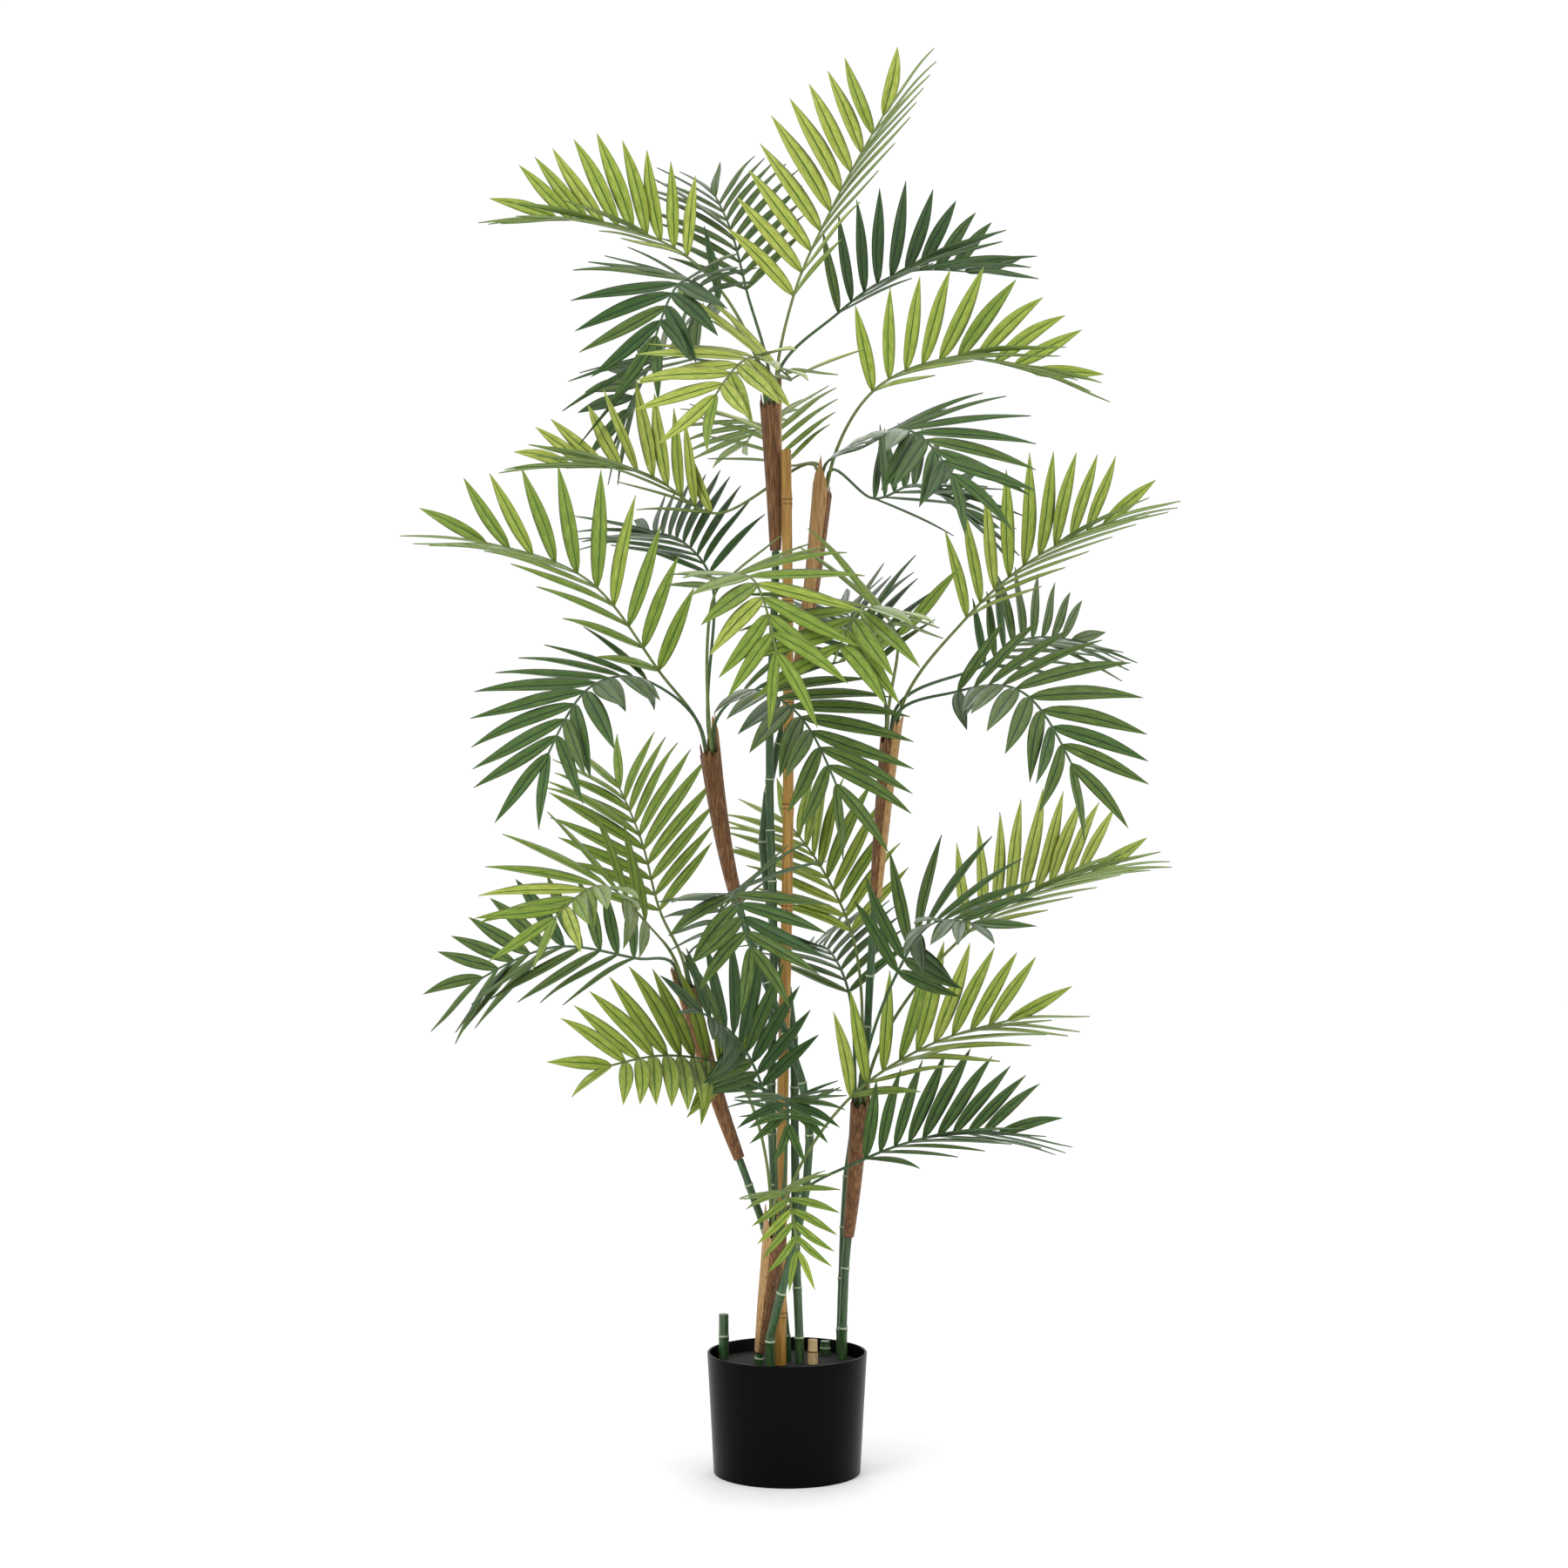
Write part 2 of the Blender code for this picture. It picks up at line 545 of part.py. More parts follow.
class Obstacle:
    """A placed piece, read by its box first and then by its faces."""

    def __init__(self, points, tree):
        self.low = [min(p[i] for p in points) for i in range(3)]
        self.high = [max(p[i] for p in points) for i in range(3)]
        self.tree = tree

    @classmethod
    def of_object(cls, item):
        points = [v.co.copy() for v in item.data.vertices]
        faces = [tuple(p.vertices) for p in item.data.polygons]
        return cls(points, BVHTree.FromPolygons(points, faces))

    def touches(self, other):
        for i in range(3):
            if self.high[i] < other.low[i] or other.high[i] < self.low[i]:
                return False
        return bool(self.tree.overlap(other.tree))


def settle_leaflets(frond, obstacles):
    """The leaflets of a frond that clear everything placed before them."""
    settled = {}
    own = []
    for pair in range(PAIRS):
        for side in (1, -1):
            for swing, lift, scale in LEAFLET_TRIES:
                leaf = frond.leaflet(pair, side, swing, lift, scale)
                probe = Obstacle(*probe_tree(leaf))
                if not any(probe.touches(o) for o in own + obstacles):
                    settled[pair, side] = leaf
                    own.append(probe)
                    break
    return settled, own


def rachis_ring(bm, frond, mark, radius):
    """Three corners: right, left and keel."""
    place, _, right, up = frond.axes(mark)
    corner = math.sqrt(0.5)
    return (
        bm.verts.new(place + (right + up) * corner * radius),
        bm.verts.new(place + (up - right) * corner * radius),
        bm.verts.new(place - up * radius),
    )


def rachis_radius(frond, mark):
    if mark < frond.shoulder_mark:
        share = mark / frond.shoulder_mark
        return PETIOLE_RADIUS + (SHOULDER_RADIUS - PETIOLE_RADIUS) * share
    share = (mark - frond.shoulder_mark) / (frond.route.length - frond.shoulder_mark)
    return SHOULDER_RADIUS + (RACHIS_END_RADIUS - SHOULDER_RADIUS) * share


def frond_marks(frond):
    """Marks of all rings along the rachis, and which of them begin a socket."""
    marks = [frond.shoulder_mark * i / PETIOLE_STEPS for i in range(PETIOLE_STEPS)]
    sockets = {}
    for pair in range(PAIRS):
        sockets[len(marks)] = pair
        marks += [frond.socket_mark(pair), frond.socket_mark(pair) + SOCKET]
    return marks, sockets


def blade_on(bm, corners, leaf):
    """Grows a leaflet from the four corners of its socket: out to its widest section, then to a point."""
    wide = [bm.verts.new(p) for p in blade_corners(leaf)]
    bridge(bm, corners, wide)
    tip = bm.verts.new(leaf["tip"])
    for i in range(4):
        bm.faces.new((wide[i], wide[(i + 1) % 4], tip))


def frond_mesh(frond, settled):
    bm = bmesh.new()
    marks, sockets = frond_marks(frond)
    rings = [rachis_ring(bm, frond, mark, rachis_radius(frond, mark)) for mark in marks]
    for i, (near, far) in enumerate(zip(rings, rings[1:])):
        bm.faces.new((near[0], near[1], far[1], far[0]))
        for side, corner in ((1, 0), (-1, 1)):
            corners = (near[corner], far[corner], far[2], near[2])
            leaf = settled.get((sockets[i], side)) if i in sockets else None
            if leaf:
                blade_on(bm, corners, leaf)
            else:
                bm.faces.new(corners)
    bm.faces.new(rings[0][::-1])
    bm.faces.new(rings[-1])
    return bm


def rachis_obstacle(frond):
    bm = frond_mesh(frond, {})
    points = [v.co.copy() for v in bm.verts]
    faces = [tuple(v.index for v in f.verts) for f in index_faces(bm)]
    bm.free()
    return Obstacle(points, BVHTree.FromPolygons(points, faces))


def index_faces(bm):
    bm.verts.index_update()
    return bm.faces


def make_fronds():
    solid = [Obstacle.of_object(item) for item in bpy.data.objects]
    fronds = []
    for crown in STEMS:
        for name, (start, neck) in petiole_starts(crown).items():
            fronds.append(Frond(name, start, neck))
    ribs = {f.name: rachis_obstacle(f) for f in fronds}
    blades = []
    count = 0
    for frond in fronds:
        others = [ribs[f.name] for f in fronds if f is not frond]
        settled, own = settle_leaflets(frond, solid + others + blades)
        blades += own
        count += len(settled)
        node_from(frond_mesh(frond, settled), "frond_" + frond.name, frond.tint + "_leaf")
    print(f"{len(fronds)} fronds with {count} leaflets of {2 * PAIRS * len(fronds)}")


clear_scene()
ROUTES = {name: Route(plan["line"], UP) for name, plan in STEMS.items()}
make_pot()
make_fill()
make_cane()
for stem_name, stem_plan in STEMS.items():
    make_stem(stem_name, stem_plan, ROUTES[stem_name])
    make_sheath(stem_name, stem_plan, ROUTES[stem_name])
make_stubs()
make_fronds()
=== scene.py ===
# %% [markdown]
# # An artificial parlor palm, dressed
# The plant is a bundle of moulded stems in a nursery pot. Each stem ends in a brown fibre
# sheath, and a crown of printed cloth fronds rises out of that. The solids of the part are
# loaded first, and everything below is made in the same metres, on the same places.

# %% Load the frame
import math
import random

import bmesh
import bpy
from mathutils import Matrix, Vector
from mathutils.bvhtree import BVHTree


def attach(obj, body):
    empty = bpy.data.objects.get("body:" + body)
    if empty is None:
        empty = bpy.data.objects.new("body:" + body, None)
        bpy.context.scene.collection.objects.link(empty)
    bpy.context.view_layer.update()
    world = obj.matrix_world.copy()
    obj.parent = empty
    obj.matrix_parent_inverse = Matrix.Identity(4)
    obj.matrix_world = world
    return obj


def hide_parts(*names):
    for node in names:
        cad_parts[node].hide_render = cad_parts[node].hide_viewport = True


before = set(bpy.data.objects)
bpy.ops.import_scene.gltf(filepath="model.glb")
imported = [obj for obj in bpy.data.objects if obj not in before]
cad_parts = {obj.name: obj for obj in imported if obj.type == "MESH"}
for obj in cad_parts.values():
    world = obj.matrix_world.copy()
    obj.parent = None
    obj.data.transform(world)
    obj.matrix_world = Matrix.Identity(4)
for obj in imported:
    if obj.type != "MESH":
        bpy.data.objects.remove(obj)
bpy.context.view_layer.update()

bpy.ops.object.select_all(action="DESELECT")

# %% [markdown]
# ## Camera
# The picture was taken from three metres away at half the plant's height, so upright lines
# stay upright. A camera at the same place lets the two pictures be laid side by side.

# %% Camera
CAMERA_PLACE = (-0.0032, -3.05, 0.710)
LENS_MM = 67.8
SENSOR_MM = 36

camera_data = bpy.data.cameras.new("camera")
camera_data.lens = LENS_MM
camera_data.sensor_width = SENSOR_MM
camera = bpy.data.objects.new("camera", camera_data)
camera.location = CAMERA_PLACE
camera.rotation_euler = (math.pi / 2, 0, 0)
bpy.context.scene.collection.objects.link(camera)
bpy.context.scene.camera = camera
print("camera at", CAMERA_PLACE, "with", LENS_MM, "mm")

# %% [markdown]
# ## One recipe for every finish
# Plastic, bamboo, fibre and printed cloth all show fine streaks or specks. A noise pattern
# that is stretched along the grain gives both the colour and a shallow relief. It could be
# painted on a picture, but a pattern in metres stays sharp and needs no unwrapping.


# %% Colours and nodes
NOISE_DETAIL = 5.0
NOISE_ROUGHNESS = 0.62
RAMP_FROM = 0.32  # the noise's useful values lie between these two
RAMP_TO = 0.70
BUMP_STRENGTH = 0.6


def linear(hex_colour):
    """An sRGB hex colour as linear values, by the standard's own curve."""
    parts = [int(hex_colour[i:i + 2], 16) / 255 for i in (1, 3, 5)]
    return [p / 12.92 if p <= 0.04045 else ((p + 0.055) / 1.055) ** 2.4 for p in parts] + [1.0]


def add(tree, kind, **settings):
    """Adds a node. Each setting is a value for an input, or another node's output to link to it."""
    node = tree.nodes.new(kind)
    for name, value in settings.items():
        if isinstance(value, bpy.types.NodeSocket):
            tree.links.new(value, node.inputs[name])
        else:
            node.inputs[name].default_value = value
    return node


def grained(name, colours, grain_mm, roughness, relief_mm, coat=0.0, along_uv=False, sheen=0.0,
            gloss=0.4):
    """A finish with streaks: colours from low to high, and the grain's size on each axis."""
    material = bpy.data.materials.new(name)
    material.use_nodes = True
    tree = material.node_tree
    shader = tree.nodes["Principled BSDF"]
    coords = add(tree, "ShaderNodeTexCoord")
    place = coords.outputs["UV" if along_uv else "Object"]
    mapped = add(tree, "ShaderNodeMapping", Vector=place, Scale=[1000 / size for size in grain_mm])
    noise = add(tree, "ShaderNodeTexNoise", Vector=mapped.outputs["Vector"], Scale=1.0,
                Detail=NOISE_DETAIL, Roughness=NOISE_ROUGHNESS)
    ramp = add(tree, "ShaderNodeValToRGB", Fac=noise.outputs["Fac"])
    stops = ramp.color_ramp.elements
    stops[0].position = RAMP_FROM
    stops[1].position = RAMP_TO
    stops[0].color = linear(colours[0])
    stops[1].color = linear(colours[-1])
    for i, colour in enumerate(colours[1:-1], 1):
        place_on_ramp = RAMP_FROM + (RAMP_TO - RAMP_FROM) * i / (len(colours) - 1)
        stops.new(place_on_ramp).color = linear(colour)
    tree.links.new(ramp.outputs["Color"], shader.inputs["Base Color"])
    bump = add(tree, "ShaderNodeBump", Height=noise.outputs["Fac"], Strength=BUMP_STRENGTH,
               Distance=relief_mm / 1000)
    tree.links.new(bump.outputs["Normal"], shader.inputs["Normal"])
    shader.inputs["Roughness"].default_value = roughness
    shader.inputs["Coat Weight"].default_value = coat
    shader.inputs["Sheen Weight"].default_value = sheen
    shader.inputs["Specular IOR Level"].default_value = gloss
    return material


print("mid grey is", round(linear("#808080")[0], 3), "in linear light")

# %% [markdown]
# ## Floor and light
# A wide pale floor and a white sky give the even look of a studio, and three large soft lamps
# shape the leaves. Smaller lamps would cast hard shadows through so many narrow blades.

# %% Floor and light
FLOOR_SIZE = 24
SKY_STRENGTH = 1.05  # just over white, so the floor is as pale as the sky
bpy.ops.mesh.primitive_plane_add(size=FLOOR_SIZE, location=(0, 0, 0))
floor = bpy.context.object
floor.name = "floor"
paper = grained("white_paper", ("#fbfbfb", "#fdfdfd"), (40, 40, 40), roughness=0.9, relief_mm=0.01)
floor.data.materials.append(paper)

world = bpy.data.worlds.new("studio")
world.use_nodes = True
world.node_tree.nodes["Background"].inputs["Color"].default_value = (1, 1, 1, 1)
world.node_tree.nodes["Background"].inputs["Strength"].default_value = SKY_STRENGTH
bpy.context.scene.world = world
bpy.context.scene.view_settings.view_transform = "Standard"
# Name, place, width in metres and watts
LAMPS = (
    ("key", (-1.9, -2.4, 2.7), 1.4, 36),
    ("fill_light", (2.4, -1.8, 1.6), 1.6, 14),
    ("back_light", (0.4, 2.4, 2.6), 1.8, 20),
)
AIM = Vector((0, 0, 0.75))
for lamp_name, place, size, watts in LAMPS:
    lamp_data = bpy.data.lights.new(lamp_name, "AREA")
    lamp_data.size = size
    lamp_data.energy = watts
    lamp = bpy.data.objects.new(lamp_name, lamp_data)
    lamp.location = place
    lamp.rotation_euler = (AIM - Vector(place)).to_track_quat("-Z", "Y").to_euler()
    bpy.context.scene.collection.objects.link(lamp)
print(len(LAMPS), "lamps over a floor", FLOOR_SIZE, "m wide")

# %% [markdown]
# ## The pot
# A nursery pot is injection moulded: a thin tapered wall with a soft edge and a satin black
# skin. It could be a turned profile. A cylinder primitive that is tapered, inset and pushed
# down is how one would do it by hand, and it keeps the wall's real thickness.

# %% Pot sizes
GAP = 0.0003
UP = Vector((0, 0, 1))
RIGHT = Vector((1, 0, 0))
POT_HEIGHT = 0.124
POT_RIM_RADIUS = 0.0826
POT_FOOT_RADIUS = 0.0757
POT_WALL = 0.0026
POT_FLOOR = 0.004
FILL_LEVEL = 0.111
STAND = FILL_LEVEL + GAP  # where everything that grows out of the fill begins
POT_SIDES = 96
SOFT_EDGE = 0.0009
EDGE_SEGMENTS = 3
EDGE_ANGLE = 40  # degrees; the bevel rounds sharper edges only
POT_SMOOTH = 35  # degrees
FACES_UP = 0.9  # an upward normal above this belongs to the pot's top


def place_in_mesh(item):
    """Puts a piece's place into its mesh, so its object sits at the origin."""
    item.data.transform(item.matrix_world)
    item.matrix_world = Matrix.Identity(4)


def finish_piece(item, slot, *nodes):
    """Gives a piece its body and hides the solids that it stands for. The slot is not used."""
    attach(item, "root")
    if nodes:
        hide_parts(*nodes)
    print(item.name, len(item.data.polygons), "faces")


print("pot", POT_HEIGHT, "m high and", POT_RIM_RADIUS * 2, "m across its rim")

# %% Model the pot
bpy.ops.object.select_all(action="DESELECT")
bpy.ops.mesh.primitive_cylinder_add(
    vertices=POT_SIDES, radius=POT_FOOT_RADIUS, depth=POT_HEIGHT, location=(0, 0, POT_HEIGHT / 2)
)
pot = bpy.context.object
pot.name = "pot_shell"
place_in_mesh(pot)
bpy.ops.object.mode_set(mode="EDIT")
bpy.ops.mesh.select_all(action="DESELECT")
bm = bmesh.from_edit_mesh(pot.data)
for face in bm.faces:
    face.select_set(face.normal.z > FACES_UP)
bmesh.update_edit_mesh(pot.data)
widen = POT_RIM_RADIUS / POT_FOOT_RADIUS
bpy.ops.transform.resize(value=(widen, widen, 1))
bpy.ops.mesh.inset(thickness=POT_WALL)
bpy.ops.mesh.extrude_region_move(TRANSFORM_OT_translate={"value": (0, 0, POT_FLOOR - POT_HEIGHT)})
narrow = (POT_FOOT_RADIUS - POT_WALL) / (POT_RIM_RADIUS - POT_WALL)
bpy.ops.transform.resize(value=(narrow, narrow, 1))
bpy.ops.object.mode_set(mode="OBJECT")
edge_round = pot.modifiers.new("soft_edges", "BEVEL")
edge_round.width = SOFT_EDGE
edge_round.segments = EDGE_SEGMENTS
edge_round.limit_method = "ANGLE"
edge_round.angle_limit = math.radians(EDGE_ANGLE)
bpy.ops.object.modifier_apply(modifier="soft_edges")
bpy.ops.object.shade_smooth_by_angle(angle=math.radians(POT_SMOOTH))
print("pot", len(pot.data.polygons), "faces, wall", POT_WALL * 1000, "mm")

# %% [markdown]
# ## Pot and fill finishes
# The pot is black polypropylene, so only its edges and the orange peel of its skin catch light.
# The fill is cast and rough. Its grains could be modelled, but between the stems they would
# hardly show, so it keeps the part's own solid and gets a finish with a rough relief.

# %% Finish the pot and the fill
# Polypropylene, injection moulded: near black, satin, with the faint orange peel of the mould,
# which is drawn coarser than it is so that it shows
satin_black = grained("satin_black_polypropylene", ("#030403", "#070805"), (3, 3, 3),
                      roughness=0.30, relief_mm=0.02, gloss=0.05)
pot.data.materials.append(satin_black)
finish_piece(pot, "pot", "pot")

# Cast fill, rough and dark: it catches little light and hides the stems' feet
rough_fill = grained("cast_fill", ("#0f0f0d", "#24231f"), (4, 4, 4), roughness=0.95, relief_mm=1.2)
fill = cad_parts["fill"]
fill.data.materials.clear()
fill.data.materials.append(rough_fill)
print("fill", len(fill.data.polygons), "faces, kept from the part")

# %% [markdown]
# ## Lines that the stems follow
# These are the part's own centre lines. A smooth curve is drawn through each, and a piece
# reads its place on it by distance, as a maker would measure along a bent wire.

# %% The part's lines
STEM_FOOT_RADIUS = 0.0047
STEM_TOP_RADIUS = 0.0040
STEM_JOINT = 0.052
CANE_FOOT_RADIUS = 0.0062
CANE_TOP_RADIUS = 0.0052
CANE_JOINT = 0.17
SHEATH_FOOT_RADIUS = 0.0058
SHEATH_MOUTH_RADIUS = 0.0108  # that of a usual mouth
SHEATH_SWELL = 0.8  # below 1 it widens early
MOUTH_EDGE = 0.002  # height of the thin edge round the mouth
LIP_SHARPNESS = 3  # the higher, the narrower the lip
# Each stem: its centre line, its sheath's length and mouth radius, the way its lip faces
# (degrees from +X towards +Y) and how far the lip stands above the mouth
STEMS = {
    "top": dict(
        line=(
            (0.000, 0.016, STAND), (-0.006, 0.016, 0.185), (-0.016, 0.012, 0.367),
            (-0.014, 0.005, 0.557), (-0.018, 0.002, 0.702), (-0.018, 0.003, 0.764),
            (-0.012, 0.009, 0.955), (-0.017, 0.012, 1.101),
        ),
        sheath=0.150, mouth=0.0108, lip_way=20, lip=0.030,
    ),
    "upper": dict(
        line=(
            (0.013, 0.006, STAND), (0.009, 0.010, 0.232), (0.008, 0.013, 0.349),
            (0.004, 0.019, 0.475), (-0.015, 0.021, 0.565), (-0.025, 0.016, 0.665),
            (-0.014, 0.018, 0.730), (0.010, 0.018, 0.824), (0.036, 0.016, 1.010),
        ),
        sheath=0.185, mouth=0.0104, lip_way=245, lip=0.030,
    ),
    "left": dict(
        line=(
            (-0.017, -0.020, STAND), (-0.017, -0.0225, 0.146), (-0.003, -0.036, 0.201),
            (0.018, -0.026, 0.287), (0.023, -0.018, 0.343), (0.016, -0.017, 0.401),
            (-0.014, -0.018, 0.486), (-0.050, -0.014, 0.585), (-0.079, -0.012, 0.740),
        ),
        sheath=0.160, mouth=0.0104, lip_way=45, lip=0.036,
    ),
    "right": dict(
        line=(
            (0.056, 0.046, STAND), (0.058, 0.048, 0.193), (0.065, 0.045, 0.317),
            (0.079, 0.035, 0.401), (0.088, 0.015, 0.540), (0.096, 0.004, 0.647),
            (0.106, -0.004, 0.755),
        ),
        sheath=0.165, mouth=0.0098, lip_way=-30, lip=0.028,
    ),
    "low_left": dict(
        line=(
            (-0.014, 0.030, STAND), (-0.014, 0.032, 0.165), (-0.019, 0.026, 0.229),
            (-0.039, -0.003, 0.295), (-0.069, -0.013, 0.379), (-0.103, -0.016, 0.500),
        ),
        sheath=0.185, mouth=0.0104, lip_way=150, lip=0.024,
    ),
    "low_right": dict(
        line=(
            (0.058, 0.027, STAND), (0.060, 0.020, 0.198), (0.069, 0.006, 0.295),
            (0.075, -0.003, 0.378),
        ),
        sheath=0.140, mouth=0.0098, lip_way=60, lip=0.022,
    ),
    "base": dict(
        line=((-0.029, 0.000, STAND), (-0.0265, -0.005, 0.134), (-0.0125, -0.0245, 0.246)),
        sheath=0.125, mouth=0.0122, lip_way=190, lip=0.032,
    ),
}
CANE_LINE = ((-0.007, -0.004, STAND), (-0.005, 0, 0.35), (0.001, 0, 0.67), (-0.001, 0, 1.055))
# Cut-off ends that stand in the fill: name, place, height, radius, slot
STUBS = (
    ("stub_green_tall", (-0.066, 0.030), 0.046, 0.0055, "stem"),
    ("stub_cut_cane", (0.0265, 0.000), 0.025, 0.0052, "cut_cane"),
    ("stub_green_short", (0.040, 0.050), 0.014, 0.0054, "stem"),
)
print(len(STEMS), "stems,", len(STUBS), "cut ends")

# %% [markdown]
# ## Smooth routes
# A bent wire has no corners. A hermite curve goes through each given point with a slope taken
# from its neighbours, as the part's source does it, so pieces here follow the same route. A
# curve object would do too, but its exact points could then differ from the part's.


# %% Curves
CURVE_STEPS = 24  # points to a span


def hermite(p0, p1, m0, m1, u):
    """A point between two places with given slopes, at a share of the way."""
    a = 2 * u**3 - 3 * u**2 + 1
    b = u**3 - 2 * u**2 + u
    c = -2 * u**3 + 3 * u**2
    d = u**3 - u**2
    return p0 * a + m0 * b + p1 * c + m1 * d


def smooth_line(points, first_way):
    """Close points along a smooth curve through the given ones."""
    points = [Vector(p) for p in points]
    spans = [(b - a).length for a, b in zip(points, points[1:])]
    ways = [Vector(first_way).normalized()]
    for i in range(1, len(points)):
        before = (points[i] - points[i - 1]) / spans[i - 1]
        if i == len(spans):  # the slope that leaves no bend at the end
            ways.append((before * 1.5 - ways[-1] * 0.5).normalized())
        else:
            after = (points[i + 1] - points[i]) / spans[i]
            share = spans[i] / (spans[i - 1] + spans[i])
            ways.append(before * share + after * (1 - share))
    line = []
    for i, span in enumerate(spans):
        for k in range(CURVE_STEPS):
            u = k / CURVE_STEPS
            line.append(hermite(points[i], points[i + 1], ways[i] * span, ways[i + 1] * span, u))
    line.append(points[-1])
    return line


class Route:
    """A smooth line that can be read by distance along it."""

    def __init__(self, points, first_way):
        self.line = smooth_line(points, first_way)
        self.marks = [0.0]
        for a, b in zip(self.line, self.line[1:]):
            self.marks.append(self.marks[-1] + (b - a).length)
        self.length = self.marks[-1]

    def at(self, distance):
        """The place and the way forward at a distance along the line."""
        distance = min(max(distance, 0.0), self.length)
        i = 0
        while i < len(self.line) - 2 and self.marks[i + 1] < distance:
            i += 1
        span = self.marks[i + 1] - self.marks[i]
        share = (distance - self.marks[i]) / span
        place = self.line[i].lerp(self.line[i + 1], share)
        low = self.line[max(i - 1, 0)]
        high = self.line[min(i + 2, len(self.line) - 1)]
        return place, (high - low).normalized()


def cross_axes(way):
    """Two unit vectors square to a way, the first of them nearest to +X."""
    first = (RIGHT - way * way.dot(RIGHT)).normalized()
    return first, way.cross(first)


def nearest_mark(route, place):
    """The distance along a route at which it passes nearest to a place."""
    distances = [(p - place).length for p in route.line]
    return route.marks[distances.index(min(distances))]


ROUTES = {name: Route(plan["line"], UP) for name, plan in STEMS.items()}
print({name: round(route.length, 3) for name, route in ROUTES.items()})

# %% [markdown]
# ## Stems, cane and cut ends
# The green stems are moulded in imitation of young cane: smooth lengths, and at each joint a
# small collar with a thin pale line. The bamboo cane is real, ochre and waxy, with a double
# brown line at each joint. A cylinder could be bent by hand for each, but the pieces would then
# leave the part's lines. One function lays rings of points along a line instead, closes them,
# and gives the bands at the joints a finish of their own.

# %% Rings and objects
def bridge(bm, lower, upper, slots):
    """Quads between two rings of points, each with its material slot."""
    for i, slot in enumerate(slots):
        j = (i + 1) % len(slots)
        bm.faces.new((lower[i], lower[j], upper[j], upper[i])).material_index = slot


def add_object(name, mesh, materials):
    """An object for a mesh, with its finishes."""
    for material in materials:
        mesh.materials.append(material)
    item = bpy.data.objects.new(name, mesh)
    bpy.context.scene.collection.objects.link(item)
    return item


def object_from(name, bm, materials, smooth_deg=180):
    """A bmesh as a smooth object, in which edges over the given angle stay sharp."""
    bmesh.ops.recalc_face_normals(bm, faces=bm.faces)
    mesh = bpy.data.meshes.new(name)
    bm.to_mesh(mesh)
    bm.free()
    mesh.shade_smooth()
    mesh.set_sharp_from_angle(angle=math.radians(smooth_deg))
    return add_object(name, mesh, materials)


print("meshes so far", len(bpy.data.meshes))


# %% Jointed rods
ROD_SIDES = 20
ROD_SMOOTH = 50  # degrees
# A collar's rings: place along the rod, rise over its skin, and 1 where the band begins
COLLAR = ((-0.0060, 0.0, 0), (-0.0016, 0.0003, 0), (-0.0006, 0.0007, 1), (0.0004, 0.0007, 1),
          (0.0010, 0.0, 0), (0.0060, -0.0002, 0))


def rod(name, route, length, radii, joint, collar, scale, materials):
    """A closed rod with a collar at each joint. A band marked 1 takes the second finish."""
    count = max(1, round(length / joint))
    stations = [(0, 0.0, 0)]
    for k in range(count):
        centre = length * (k + 0.5) / count
        stations += [(centre + along, rise * scale, band) for along, rise, band in collar]
    stations.append((length, 0.0, 0))
    bm = bmesh.new()
    rings = []
    for mark, rise, _ in stations:
        place, way = route.at(mark)
        first, second = cross_axes(way)
        radius = radii[0] + (radii[1] - radii[0]) * (mark / length) + rise
        turns = [2 * math.pi * i / ROD_SIDES for i in range(ROD_SIDES)]
        rings.append([
            bm.verts.new(place + (first * math.cos(a) + second * math.sin(a)) * radius) for a in turns
        ])
    for station, lower, upper in zip(stations, rings, rings[1:]):
        bridge(bm, lower, upper, [station[2]] * ROD_SIDES)
    bm.faces.new(rings[0][::-1])
    bm.faces.new(rings[-1])
    return object_from(name, bm, materials, ROD_SMOOTH)


print("rods have", ROD_SIDES, "sides")

# %% [markdown]
# ## Finishes of the rods
# The moulded stems are polyethylene over wire, the cane is real bamboo with a waxy skin. Both
# streak along their length, so the grain is long upwards and short across. The lines at the
# joints could be painted on, but as faces of their own they stay crisp.

# %% Rod finishes
# Polyethylene over wire: deep green, semi-gloss, a little streaked along its length
green_rod = grained("moulded_green", ("#22381c", "#33522c", "#45663a"), (2, 2, 30),
                    roughness=0.38, relief_mm=0.05, coat=0.15)
# The same plastic, pale and dull in a thin line at each joint
pale_ring = grained("pale_joint_line", ("#8f9d7c", "#b9c3a4"), (2, 2, 2),
                    roughness=0.6, relief_mm=0.05)
# Bamboo: waxy ochre skin with long fibres and darker weathered patches
bamboo = grained("bamboo_skin", ("#74501f", "#a3792f", "#bb9044"), (1.6, 1.6, 55),
                 roughness=0.42, relief_mm=0.06, coat=0.15)
# The scar that a leaf sheath leaves at each joint: brown and dull
brown_ring = grained("bamboo_joint", ("#4a2c14", "#7a5226"), (2, 2, 2), roughness=0.7, relief_mm=0.1)
# Sawn cane without its skin: pale, dry and fibrous
cut_end = grained("cut_cane", ("#a58a5c", "#d0b88a"), (1, 1, 12), roughness=0.85, relief_mm=0.1)
print("rod finishes", green_rod.name, bamboo.name, cut_end.name)

# %% Make the stems
for name, plan in STEMS.items():
    length = ROUTES[name].length - plan["sheath"] - GAP
    stem = rod("rod_" + name, ROUTES[name], length, (STEM_FOOT_RADIUS, STEM_TOP_RADIUS),
               STEM_JOINT, COLLAR, 1.0, (green_rod, pale_ring))
    finish_piece(stem, "stem", "stem_" + name)

